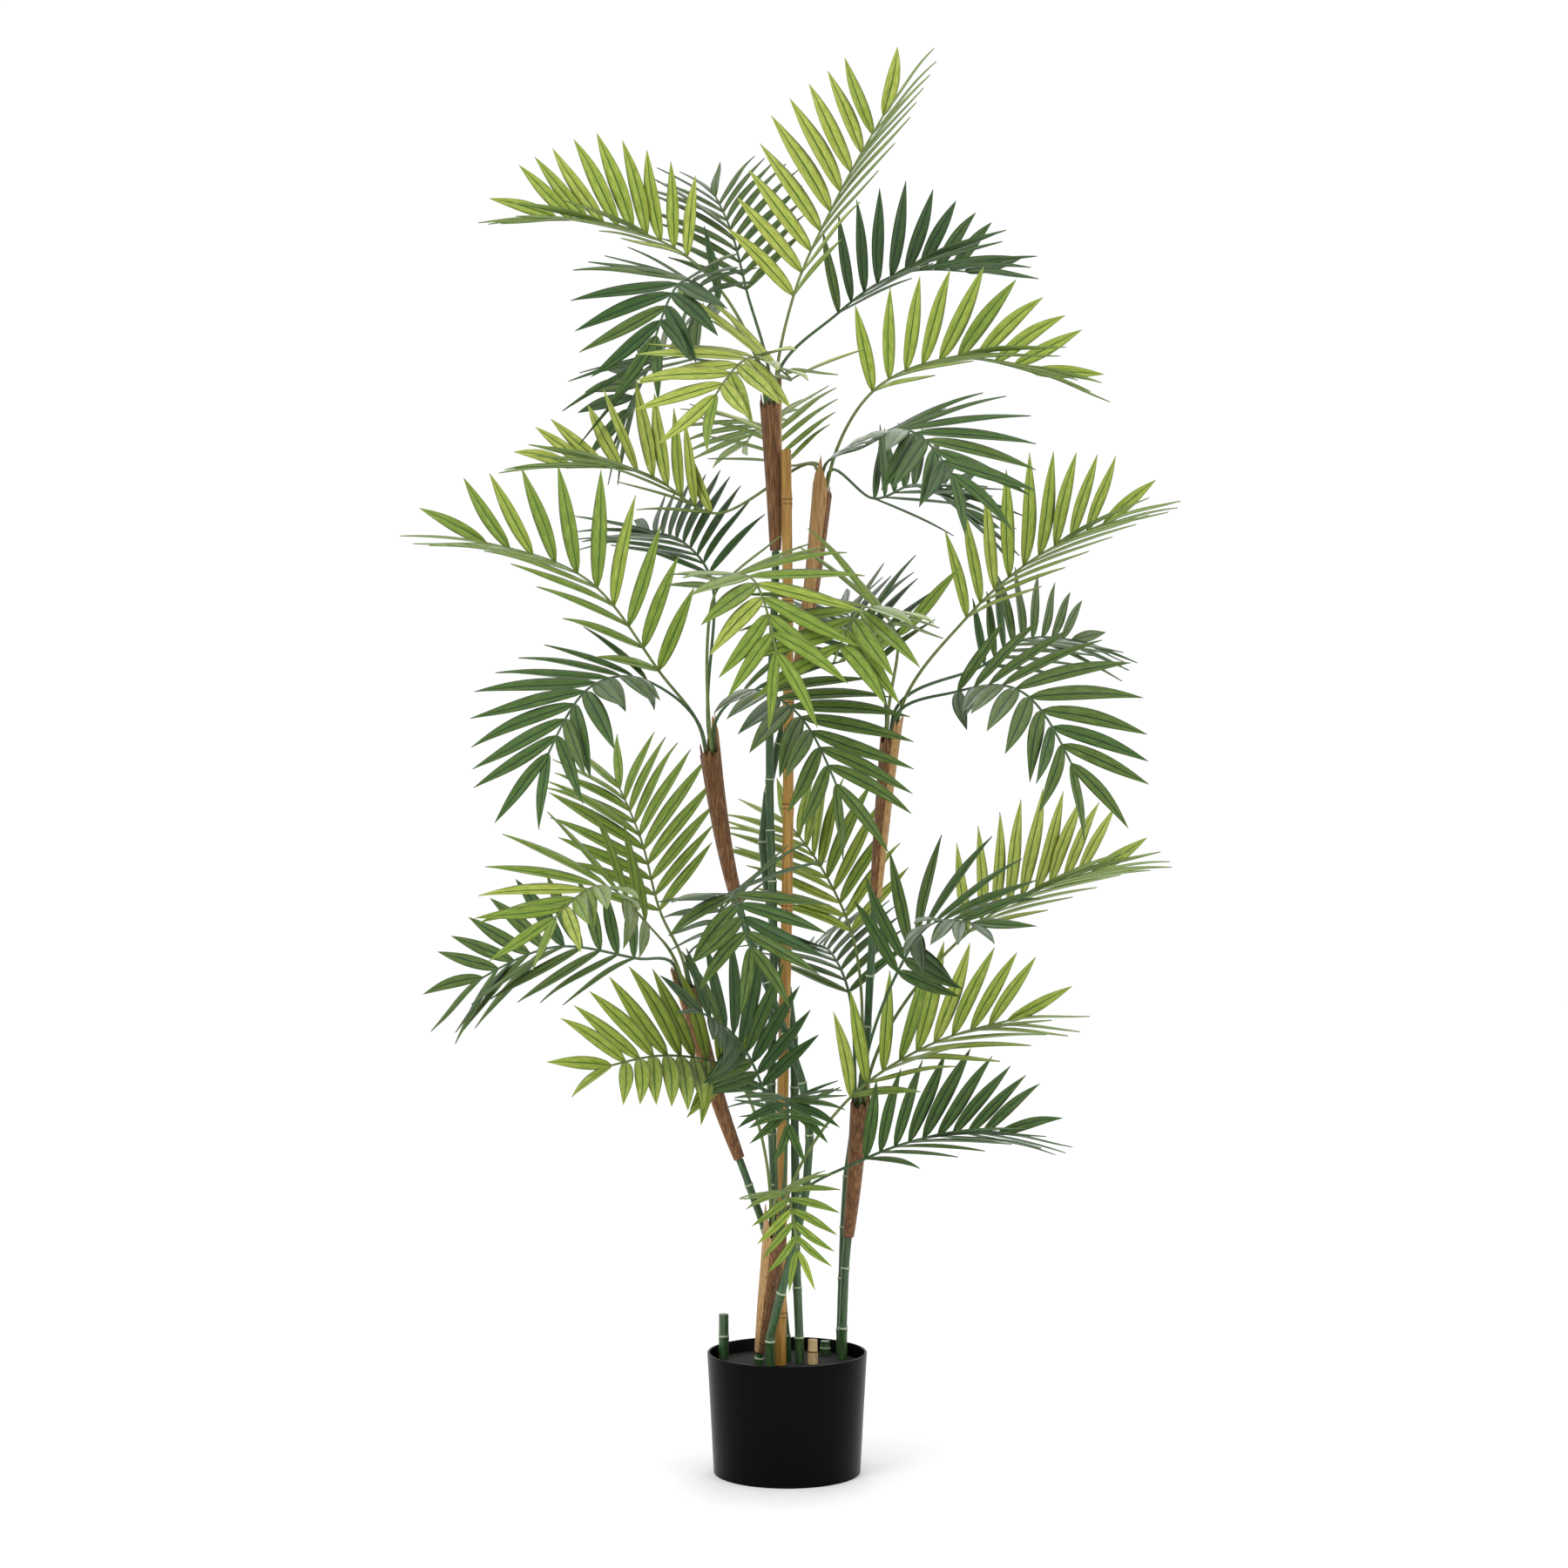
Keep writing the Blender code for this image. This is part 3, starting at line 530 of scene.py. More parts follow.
# %% Make the cane and the cut ends
CANE_STEP = CANE_JOINT / 1.6  # the cane's visible joints are closer than the part's plain ones
STUB_TAPER = 0.94
STUB_COLLAR = 0.6  # their collars stand out less
CANE_COLLAR = ((-0.012, 0, 0), (-0.0040, 0.0005, 1), (-0.0030, 0.0008, 0), (-0.0008, 0.0002, 0),
               (0.0006, 0.0009, 1), (0.0018, 0.0007, 0), (0.012, 0, 0))
cane_route = Route(CANE_LINE, UP)
cane = rod("bamboo_cane", cane_route, cane_route.length, (CANE_FOOT_RADIUS, CANE_TOP_RADIUS),
           CANE_STEP, CANE_COLLAR, 1.0, (bamboo, brown_ring))
finish_piece(cane, "cane", "cane")

stub_finishes = {"stem": (green_rod, pale_ring), "cut_cane": (cut_end, brown_ring)}
for name, centre, height, radius, slot in STUBS:
    line = Route(((*centre, STAND), (*centre, STAND + height)), UP)
    stub = rod("cut_" + name, line, height, (radius, radius * STUB_TAPER), height, COLLAR,
               STUB_COLLAR, stub_finishes[slot])
    finish_piece(stub, slot, name)

# %% [markdown]
# ## Fibre sheaths
# On the real thing a strip of palm fibre is wrapped round the top of the stem, with its edge
# drawn out to a few loose prongs. Each sheath here is a shell of many narrow columns. Each
# column has its own height at the mouth, which gives the frayed edge, and the columns on one
# side take a paler, dry finish, as the wrapped strip shows its inner face there.

# %% Sheath sizes and fibres
SHEATH_COLUMNS = 44
SHEATH_ROWS = 14
SHELL = 0.0009  # thickness at the mouth
MOUTH_DEPTH = 0.022
MOUTH_INSIDE = 0.62  # radius at the bottom of the mouth, as a share of the mouth's
FRAY = (-0.006, 0.003)  # how far the columns end below or above the mouth's edge
FOOT_FRAY = 0.0025
LOOSE_STRANDS = 6
LOOSE_RISE = 0.010
RIDGE = 0.00035  # how far a column stands in or out
RIDGE_START = 0.4
LIP_FROM = 0.8  # share of the sheath's length where its lip begins to rise
LIP_LEAN = 0.0022
SHEATH_SMOOTH = 55  # degrees
TAN_WIDTH = 0.55  # cosine beyond which a column is tan
draw = random.Random(5)

# Palm fibre: matt, red-brown, with long strands, drawn thicker than real ones so they show.
# Where the inner face shows it is dry and tan.
FIBRE_MM = (1.1, 1.1, 26)
DRY_MM = (1.1, 1.1, 34)
fibre = grained("palm_fibre", ("#3b2818", "#6f4a2c", "#a47c50"), FIBRE_MM,
                roughness=0.95, relief_mm=0.9, sheen=0.2)
tan_fibre = grained("dry_fibre", ("#7b5a37", "#a5804f", "#c4a376"), DRY_MM,
                    roughness=0.95, relief_mm=0.7, sheen=0.2)
print("fibre finishes", fibre.name, tan_fibre.name)


# %% Make the sheaths
def sheath(name, plan, route):
    """One sheath: an outer skin, the edge of its mouth, and the hollow of the mouth."""
    begin = route.length - plan["sheath"]
    lip_turn = math.radians(plan["lip_way"])
    lip = Vector((math.cos(lip_turn), math.sin(lip_turn), 0))
    fray = [draw.uniform(*FRAY) for _ in range(SHEATH_COLUMNS)]
    for loose in draw.sample(range(SHEATH_COLUMNS), LOOSE_STRANDS):
        fray[loose] += LOOSE_RISE
    ridge = [draw.uniform(-RIDGE, RIDGE) for _ in range(SHEATH_COLUMNS)]
    bm = bmesh.new()
    rows = []
    tan = []
    for row in range(SHEATH_ROWS + 1):
        share = row / SHEATH_ROWS
        place, way = route.at(begin + plan["sheath"] * share)
        first, second = cross_axes(way)
        radius = SHEATH_FOOT_RADIUS + (plan["mouth"] - SHEATH_FOOT_RADIUS) * share ** SHEATH_SWELL
        ring = []
        for i in range(SHEATH_COLUMNS):
            a = 2 * math.pi * i / SHEATH_COLUMNS
            out = first * math.cos(a) + second * math.sin(a)
            facing = max(0.0, out.dot(lip)) ** LIP_SHARPNESS
            late = max(0.0, share - LIP_FROM) / (1 - LIP_FROM)
            spread = ridge[i] * (RIDGE_START + share) + LIP_LEAN * facing * late
            point = place + out * (radius + spread)
            point += way * late * (MOUTH_EDGE + plan["lip"] * facing + fray[i])
            if row == 0:
                point += way * draw.uniform(0, FOOT_FRAY)
                tan.append(int(out.dot(lip) > TAN_WIDTH))
            ring.append((point, out))
        rows.append(ring)
    outer = [[bm.verts.new(p) for p, _ in ring] for ring in rows]
    inner_top = [bm.verts.new(p - out * SHELL) for p, out in rows[-1]]
    place, _ = route.at(route.length - MOUTH_DEPTH)
    inner_low = [bm.verts.new(place + out * (plan["mouth"] * MOUTH_INSIDE)) for _, out in rows[-1]]
    rings = outer + [inner_top, inner_low]
    for lower, upper in zip(rings, rings[1:]):
        bridge(bm, lower, upper, tan)
    bm.faces.new(outer[0][::-1])
    bm.faces.new(inner_low)
    item = object_from("fibre_" + name, bm, (fibre, tan_fibre), SHEATH_SMOOTH)
    finish_piece(item, "sheath", "sheath_" + name)


for name, plan in STEMS.items():
    sheath(name, plan, ROUTES[name])

# %% [markdown]
# ## Fronds
# All fronds come from one mould: nine pairs of leaflets and a pair at the tip, on a wired
# rib, bent by hand. The table gives each frond's bend, and the leaflets are settled by the
# part's own rule, so the fine ones below stand exactly where the part's plain ones are.

# %% Frond sizes
PETIOLE_RADIUS = 0.0019
SHOULDER_RADIUS = 0.0015
RACHIS_END_RADIUS = 0.0011
PETIOLE_RING = 0.0050  # how far from the sheath's axis the petioles start
PETIOLE_NECK = 0.024  # how far they rise before they bend away
PETIOLE_LEAN = 0.002  # how far they lean out over that rise
PAIRS = 10  # leaflet pairs, with the one at the tip
SOCKET = 0.005  # length of rachis that carries a pair
LEAFLET_LENGTH = 0.128
LEAFLET_WIDTH = 0.0205
LEAFLET_THICKNESS = 0.0014
LEAFLET_WIDEST = 0.42  # share of the length
LONGEST_AT = 0.45  # place of the longest leaflets, as a share of the rachis
SHORTEST_LEAFLET = 0.70  # at the rachis tip, as a share of the longest
SWEEP_FIRST = math.radians(58)  # angle of the lowest leaflets to the rachis
SWEEP_LAST = math.radians(40)
SWEEP_TERMINAL = math.radians(17)
LEAFLET_TWIST = math.radians(-12)  # turns a leaflet's face towards the rachis tip
LEAFLET_SAG = 0.07  # drop of a leaflet's tip, as a share of its length
CLEARANCE = 0.0009
PROBE_ROOT = 0.30  # where a leaflet's test hull begins, as a share of the way to its widest
PROBE_ROOT_SIZE = 0.35  # and its width there, as a share of the widest
PETIOLE_STEPS = 6
# A leaflet that would touch something is tried at these swings, lifts and lengths, then left out
LEAFLET_TRIES = (
    (0, 0, 1.0), (8, 0, 1.0), (-8, 0, 1.0), (0, 14, 1.0), (0, -14, 1.0),
    (10, 20, 0.9), (-10, -20, 0.9), (0, 28, 0.8), (0, -28, 0.8), (0, 0, 0.6),
)
# Each frond: where its leaflets begin, where its rachis ends, how far the rachis bows up
# between them, the way its upper side looks (degrees round from the front, degrees up), how
# far the leaflet rows fold up from flat, its tint, and how long its leaflets are
FRONDS = {
    "top_1": ((0.006, 0.000, 1.212), (0.103, 0.080, 1.420), 0.006, -34, 12, 34, "light", 1.1),
    "top_2": ((-0.102, 0.022, 1.257), (-0.243, 0.060, 1.305), 0.012, 0, 38, 38, "light", 0.95),
    "top_3": ((-0.042, 0.040, 1.225), (-0.078, 0.170, 1.351), 0.010, 0, 20, 20, "dark", 0.95),
    "top_4": ((-0.070, 0.000, 1.205), (-0.130, -0.140, 1.150), 0.040, -15, 40, 10, "dark", 0.95),
    "top_5": ((-0.095, 0.050, 1.156), (-0.175, 0.180, 1.118), 0.030, 0, 35, 15, "dark", 0.95),
    "top_6": ((0.004, -0.055, 1.120), (-0.070, -0.195, 1.085), 0.030, -10, 38, 12, "light", 1.0),
    "top_7": ((0.052, 0.050, 1.203), (0.195, 0.160, 1.267), 0.020, 0, 42, 42, "dark", 1.0),
    "upper_1": ((0.086, -0.020, 1.111), (0.258, 0.055, 1.143), 0.025, 0, 38, 38, "light", 1.0),
    "upper_2": ((0.076, -0.050, 1.052), (0.160, -0.185, 1.010), 0.03, 20, 35, 5, "dark", 1.0),
    "upper_3": ((0.090, 0.070, 1.012), (0.192, 0.200, 1.010), 0.022, 0, 34, 20, "dark", 0.95),
    "upper_4": ((-0.077, 0.060, 0.995), (-0.234, 0.150, 1.053), 0.018, 0, 42, 42, "light", 0.95),
    "upper_5": ((0.000, 0.090, 1.050), (-0.045, 0.270, 1.095), 0.030, 0, 40, 15, "light", 0.9),
    "left_1": ((-0.130, -0.030, 0.824), (-0.317, 0.045, 0.963), 0.033, 0, 38, 38, "light", 1.05),
    "left_2": ((-0.072, -0.060, 0.905), (-0.010, -0.205, 0.835), 0.045, 15, 40, 10, "light", 0.95),
    "left_3": ((-0.081, 0.050, 0.929), (-0.152, 0.200, 0.986), 0.015, 0, 30, 20, "dark", 1.0),
    "left_4": ((-0.140, -0.060, 0.814), (-0.232, -0.190, 0.738), 0.033, -20, 38, 5, "dark", 0.95),
    "left_5": ((-0.047, -0.050, 0.802), (0.048, -0.190, 0.708), 0.030, 20, 35, 10, "dark", 0.95),
    "right_1": ((0.185, 0.020, 0.881), (0.340, 0.110, 0.989), 0.012, 0, 42, 42, "light", 1.05),
    "right_2": ((0.112, -0.050, 0.858), (0.045, -0.205, 0.828), 0.042, -10, 38, 10, "light", 1.05),
    "right_3": ((0.172, -0.040, 0.804), (0.277, -0.180, 0.728), 0.038, 10, 35, 15, "dark", 0.95),
    "right_4": ((0.205, 0.050, 0.834), (0.312, 0.175, 0.867), 0.015, 0, 30, 20, "dark", 0.9),
    "right_5": ((0.091, 0.060, 0.831), (0.062, 0.190, 0.900), 0.010, 0, 25, 15, "dark", 1.0),
    "low_left_1": ((-0.132, 0.030, 0.576), (-0.181, 0.140, 0.706), 0.010, 0, 18, 20, "light", 1.0),
    "low_left_2": ((-0.142, -0.070, 0.570), (-0.225, -0.205, 0.580), 0.035, -20, 38, 10, "light", 0.95),
    "low_left_3": ((-0.157, 0.030, 0.528), (-0.327, 0.110, 0.502), 0.023, 0, 32, 10, "dark", 0.9),
    "low_left_4": ((-0.078, -0.070, 0.558), (-0.035, -0.225, 0.552), 0.048, 0, 50, 5, "dark", 0.9),
    "low_right_1": ((0.065, 0.040, 0.490), (0.025, 0.200, 0.532), 0.020, 0, 40, 15, "dark", 0.95),
    "low_right_2": ((0.068, 0.050, 0.553), (0.005, 0.160, 0.663), 0.010, 0, 20, 20, "light", 1.0),
    "low_right_3": ((0.186, 0.020, 0.554), (0.329, 0.120, 0.616), 0.010, 0, 42, 42, "light", 1.05),
    "low_right_4": ((0.111, -0.060, 0.518), (0.180, -0.190, 0.575), 0.025, 10, 40, 10, "dark", 0.95),
    "base_1": ((-0.055, -0.050, 0.416), (-0.172, -0.190, 0.437), 0.014, 0, 28, 28, "light", 0.95),
    "base_2": ((0.063, -0.040, 0.389), (0.232, 0.035, 0.463), 0.014, 0, 38, 38, "light", 1.0),
    "base_3": ((0.076, -0.080, 0.332), (0.217, -0.020, 0.351), 0.010, 0, 40, 40, "dark", 0.9),
    "base_4": ((-0.012, -0.065, 0.290), (0.010, -0.180, 0.255), 0.033, 0, 45, 10, "light", 0.5),
    "base_5": ((0.000, -0.090, 0.372), (0.001, -0.180, 0.378), 0.025, 0, 45, 5, "dark", 0.62),
    "base_6": ((-0.025, -0.040, 0.400), (-0.085, -0.140, 0.485), 0.015, 0, 35, 20, "dark", 0.9),
}
print(len(FRONDS), "fronds from one mould")

# %% [markdown]
# ## Where a frond and its leaflets go
# A petiole rises out of its sheath before it bends away. Leaflets stand in pairs, wide apart
# at the shoulder and closer to the rib at the tip. This is the source's own geometry: made
# freely, the fine leaflets would stand beside the solid ones, not in their place.


# %% Where each petiole starts
def petiole_starts(crown):
    """Where each frond of a crown leaves its sheath, dealt evenly round the mouth."""
    route = ROUTES[crown]
    centre, way = route.at(route.length)
    first, second = cross_axes(way)
    names = [n for n in FRONDS if n.rsplit("_", 1)[0] == crown]
    headings = {}
    for name in names:
        out = Vector(FRONDS[name][0]) - centre
        headings[name] = math.atan2(out.dot(second), out.dot(first))
    names.sort(key=lambda n: headings[n])
    step = 2 * math.pi / len(names)
    slant = [headings[n] - i * step for i, n in enumerate(names)]
    turn = math.atan2(sum(math.sin(s) for s in slant), sum(math.cos(s) for s in slant))
    ring = PETIOLE_RING * STEMS[crown]["mouth"] / SHEATH_MOUTH_RADIUS
    starts = {}
    for i, name in enumerate(names):
        a = turn + i * step
        spoke = first * math.cos(a) + second * math.sin(a)
        start = centre + spoke * ring + way * 2 * GAP
        starts[name] = (start, start + way * PETIOLE_NECK + spoke * PETIOLE_LEAN)
    return starts


print({crown: len(petiole_starts(crown)) for crown in STEMS}, "fronds to a crown")


# %% A frond and its leaflets
def look_way(round_deg, up_deg):
    """A direction given by degrees round from the front (-Y) towards +X, and degrees up."""
    a, e = math.radians(round_deg), math.radians(up_deg)
    return Vector((math.sin(a) * math.cos(e), -math.cos(a) * math.cos(e), math.sin(e)))


class Frond:
    """One frond's rachis and the places of its leaflets."""

    def __init__(self, name, start, neck):
        shoulder, tip, bow, round_deg, up_deg, fold, self.tint, self.size = FRONDS[name]
        self.name = name
        self.fold = math.radians(fold)
        self.look = look_way(round_deg, up_deg)
        shoulder, tip = Vector(shoulder), Vector(tip)
        chord = (tip - shoulder).normalized()
        lift = (UP - chord * chord.z).normalized()
        middle = (shoulder + tip) / 2 + lift * bow
        self.route = Route((start, neck, shoulder, middle, tip), neck - start)
        self.shoulder_mark = nearest_mark(self.route, shoulder)

    def axes(self, mark):
        """Place, way along, way to the right and way up at a mark on the rachis."""
        place, way = self.route.at(mark)
        up = (self.look - way * way.dot(self.look)).normalized()
        return place, way, way.cross(up), up

    def socket_mark(self, pair):
        """The distance along the rachis at which a pair of leaflets begins."""
        last = self.route.length - SOCKET
        return self.shoulder_mark + (last - self.shoulder_mark) * pair / (PAIRS - 1)

    def leaflet(self, pair, side, swing, lift, scale):
        """The base, middle and tip of a leaflet and its blade's axes. side is 1 or -1."""
        share = pair / (PAIRS - 1)
        sweep = SWEEP_FIRST + (SWEEP_LAST - SWEEP_FIRST) * share
        if pair == PAIRS - 1:
            sweep = SWEEP_TERMINAL
        sweep += math.radians(swing)
        fold = self.fold + math.radians(lift)
        place, way, right, up = self.axes(self.socket_mark(pair) + SOCKET / 2)
        out = right * side * math.cos(fold) + up * math.sin(fold)
        normal = up * math.cos(fold) - right * side * math.sin(fold)
        along = way * math.cos(sweep) + out * math.sin(sweep)
        across = way * math.sin(sweep) - out * math.cos(sweep)
        turn = LEAFLET_TWIST
        across, normal = (
            across * math.cos(turn) + normal * math.sin(turn),
            normal * math.cos(turn) - across * math.sin(turn),
        )
        full = 1 - (1 - SHORTEST_LEAFLET) * abs(share - LONGEST_AT) / (1 - LONGEST_AT)
        length = LEAFLET_LENGTH * self.size * full * scale
        sag = LEAFLET_SAG * length
        middle = place + along * length * LEAFLET_WIDEST - UP * sag * LEAFLET_WIDEST**2
        tip = place + along * length - UP * sag
        width = LEAFLET_WIDTH * length / LEAFLET_LENGTH
        return dict(
            base=place, middle=middle, tip=tip, along=along, across=across, normal=normal,
            length=length, width=width,
        )


print(PAIRS, "pairs of leaflets to a frond")

# %% [markdown]
# ## Leaflets that keep clear of each other
# Cloth leaflets give way when they meet, but these are rigid. So each is tried against all
# that stands already, by a simple hull with some clearance, and swung, lifted or shortened
# until it is free. One that never gets free is left out, as in the part.


# %% Clearance tests
def probe_tree(leaf):
    """A leaflet's hull with clearance, from just off the rachis to its tip."""
    half = leaf["across"] * (leaf["width"] / 2 + CLEARANCE)
    thick = leaf["normal"] * (LEAFLET_THICKNESS / 2 + CLEARANCE)
    middle = leaf["middle"]
    widest = [middle - half + thick, middle + half + thick, middle + half - thick, middle - half - thick]
    root = leaf["base"].lerp(middle, PROBE_ROOT)
    points = [root + (corner - middle) * PROBE_ROOT_SIZE for corner in widest] + widest
    points.append(leaf["tip"] + (leaf["tip"] - leaf["base"]).normalized() * CLEARANCE)
    faces = [(i, (i + 1) % 4, (i + 1) % 4 + 4, i + 4) for i in range(4)]
    faces += [(i + 4, (i + 1) % 4 + 4, 8) for i in range(4)]
    return points, BVHTree.FromPolygons(points, faces)


class Obstacle:
    """A placed piece, read by its box first and then by its faces."""

    def __init__(self, points, tree):
        self.low = [min(p[i] for p in points) for i in range(3)]
        self.high = [max(p[i] for p in points) for i in range(3)]
        self.tree = tree

    @classmethod
    def of_object(cls, item):
        """An obstacle from a piece whose place is in its mesh."""
        points = [v.co.copy() for v in item.data.vertices]
        faces = [tuple(p.vertices) for p in item.data.polygons]
        return cls(points, BVHTree.FromPolygons(points, faces))

    def touches(self, other):
        """Whether two obstacles meet."""
        for i in range(3):
            if self.high[i] < other.low[i] or other.high[i] < self.low[i]:
                return False
        return bool(self.tree.overlap(other.tree))


print("clearance", CLEARANCE * 1000, "mm")


# %% Ribs as obstacles
def rachis_radius(frond, mark):
    """The rib's radius at a distance from its foot."""
    if mark < frond.shoulder_mark:
        share = mark / frond.shoulder_mark
        return PETIOLE_RADIUS + (SHOULDER_RADIUS - PETIOLE_RADIUS) * share
    share = (mark - frond.shoulder_mark) / (frond.route.length - frond.shoulder_mark)
    return SHOULDER_RADIUS + (RACHIS_END_RADIUS - SHOULDER_RADIUS) * share


def rachis_obstacle(frond):
    """A frond's plain three-sided rib, which leaflets keep clear of."""
    marks = [frond.shoulder_mark * i / PETIOLE_STEPS for i in range(PETIOLE_STEPS)]
    for pair in range(PAIRS):
        marks += [frond.socket_mark(pair), frond.socket_mark(pair) + SOCKET]
    points = []
    for mark in marks:
        place, _, right, up = frond.axes(mark)
        radius = rachis_radius(frond, mark)
        wide = math.sqrt(0.5) * radius
        points += [place + (right + up) * wide, place + (up - right) * wide, place - up * radius]
    faces = [(2, 1, 0)]
    for near in range(0, len(points) - 3, 3):
        far = near + 3
        faces.append((near, near + 1, far + 1, far))
        faces.append((near, far, far + 2, near + 2))
        faces.append((near + 1, far + 1, far + 2, near + 2))
    faces.append((len(points) - 3, len(points) - 2, len(points) - 1))
    return Obstacle(points, BVHTree.FromPolygons(points, faces))


fronds = []
for crown in STEMS:
    for name, (start, neck) in petiole_starts(crown).items():
        fronds.append(Frond(name, start, neck))
ribs = {frond.name: rachis_obstacle(frond) for frond in fronds}
print(len(ribs), "ribs")


# %% Settle the leaflets
def settle_leaflets(frond, obstacles):
    """The leaflets of a frond that clear everything placed before them."""
    settled = {}
    own = []
    for pair in range(PAIRS):
        for side in (1, -1):
            for swing, lift, scale in LEAFLET_TRIES:
                leaf = frond.leaflet(pair, side, swing, lift, scale)
                probe = Obstacle(*probe_tree(leaf))
                if not any(probe.touches(o) for o in own + obstacles):
                    settled[pair, side] = leaf
                    own.append(probe)
                    break
    return settled, own


solid = [
    Obstacle.of_object(item) for name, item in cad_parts.items() if not name.startswith("frond_")
]
placed = []
leaves = {}
for frond in fronds:
    others = [ribs[f.name] for f in fronds if f is not frond]
    settled, own = settle_leaflets(frond, solid + others + placed)
    placed += own
    leaves[frond.name] = settled
print(sum(len(settled) for settled in leaves.values()), "leaflets")

# %% [markdown]
# ## The cloth of the leaflets
# The leaflets are polyester cloth, printed and pressed over a mould. The light fronds are
# yellow-green with pale streaks, the others a deep green. Undersides are paler and flat,
# and the pressed midrib is darker. Each is a plain finish of its own, dealt out by
# frond and leaflet, so the colours stay where they belong.

# %% Cloth finishes
STREAK_MM = (0.9, 14, 1)  # across and along a leaflet
CLOTH_RELIEF_MM = 0.12
SHADES = {
    "light": (("#667d20", "#90a33a", "#b4bf68"), ("#728528", "#a0ad46", "#c6cc7c"),
              ("#526b1c", "#789032", "#98aa52")),
    "dark": (("#2c4519", "#415e25", "#5a7839"), ("#364a19", "#4d6627", "#6a803e"),
             ("#233c19", "#345323", "#4a6a33")),
}
RIBS = {"light": ("#34561a", "#476c22"), "dark": ("#102815", "#1b381e")}
UNDERS = {"light": ("#748a44", "#8ea25e"), "dark": ("#435d36", "#5a7549")}
TIPS = {"light": ("#6f7445", "#8a8c60"), "dark": ("#33432b", "#46553a")}
CLOTH_ROUGHNESS = {"light": 0.46, "dark": 0.40}


def cloth(name, colours, tint):
    """Printed polyester: satin, with streaks that follow the leaflet's length."""
    return grained(name, colours, STREAK_MM, CLOTH_ROUGHNESS[tint], CLOTH_RELIEF_MM,
                   along_uv=True, sheen=0.1, gloss=0.2)


def cloth_set(tint):
    """The shades first, then midrib, underside and dry tip."""
    shades = [cloth(f"{tint}_print_{i}", colours, tint) for i, colours in enumerate(SHADES[tint])]
    return shades + [
        cloth(tint + "_midrib", RIBS[tint], tint),
        cloth(tint + "_underside", UNDERS[tint], tint),
        cloth(tint + "_dry_tip", TIPS[tint], tint),
    ]


MIDRIB, UNDERSIDE, DRY_TIP = 3, 4, 5  # places in a cloth set after the three shades
print({tint: len(shades) for tint, shades in SHADES.items()}, "printed shades")

# %% [markdown]
# ## One leaflet, many times
# A leaflet is a long pointed blade with a shallow fold along its midrib. It is a closed skin:
# an upper and a lower grid that share their edges, a small butt at the rib and a fine point.
# All leaflets of one tint are joined in one mesh, because several hundred objects would only
# slow the scene.

# %% Leaflet grid
ROWS = 12
ACROSS = (-1.0, -0.55, -0.09, 0.0, 0.09, 0.55, 1.0)
LAST_ROW = 0.985  # share of the length where the point begins
STALK_SHARE = 0.14  # half width at the foot, as a share of the widest
WIDEST_POWER = 0.76  # puts the widest place at four tenths of the length
BASE_FULLNESS = 0.62
TIP_FULLNESS = 0.92  # close to 1 draws the tip out to a long point
TRUE_WIDTH = 0.98  # of the solid's width
BLADE = 0.00045  # thickness of the cloth
MIDDLE_THICKNESS = 1.4  # in blades, thinning towards the edge
FOLD_RISE = 0.22  # rise of the edge, as a share of the half width
GROOVE = 0.00035


def outline(t):
    """Half width of the blade at a share of its length, as a share of its widest."""
    wave = math.sin(math.pi * t ** WIDEST_POWER) if 0 < t < 1 else 0.0
    body = wave ** (BASE_FULLNESS if t ** WIDEST_POWER < 0.5 else TIP_FULLNESS)
    return max(body, STALK_SHARE * (1 - t))


def leaflet_points(leaf, wave, curl, turn):
    """The upper and lower points of the blade, row by row. It waves, curls and turns a little."""
    upper, lower = [], []
    side = leaf["across"]
    for row in range(ROWS + 1):
        t = LAST_ROW * row / ROWS
        half = leaf["width"] / 2 * TRUE_WIDTH * outline(t)
        sag = LEAFLET_SAG * leaf["length"] * t * t
        spin = turn * t
        across = side * math.cos(spin) + leaf["normal"] * math.sin(spin)
        normal = leaf["normal"] * math.cos(spin) - side * math.sin(spin)
        centre = leaf["base"] + leaf["along"] * leaf["length"] * t - UP * sag
        centre += side * curl * math.sin(math.pi * t) + normal * wave * math.sin(2 * math.pi * t)
        top_row, low_row = [], []
        for u in ACROSS:
            rise = half * abs(u) * FOLD_RISE - (GROOVE if u == 0 else 0)
            point = centre + across * half * u + normal * rise
            top_row.append(point)
            low_row.append(point - normal * BLADE * (MIDDLE_THICKNESS - abs(u)))
        upper.append(top_row)
        lower.append(low_row[1:-1])
    return upper, lower


print("width at a tenth of the length", round(outline(0.1), 2))

# %% [markdown]
# ## A skin that grows leaflet by leaflet
# Points and faces are gathered in lists and become one mesh at the end. Each face also notes
# its finish, and its corners note their place on the cloth, across and along the leaflet.


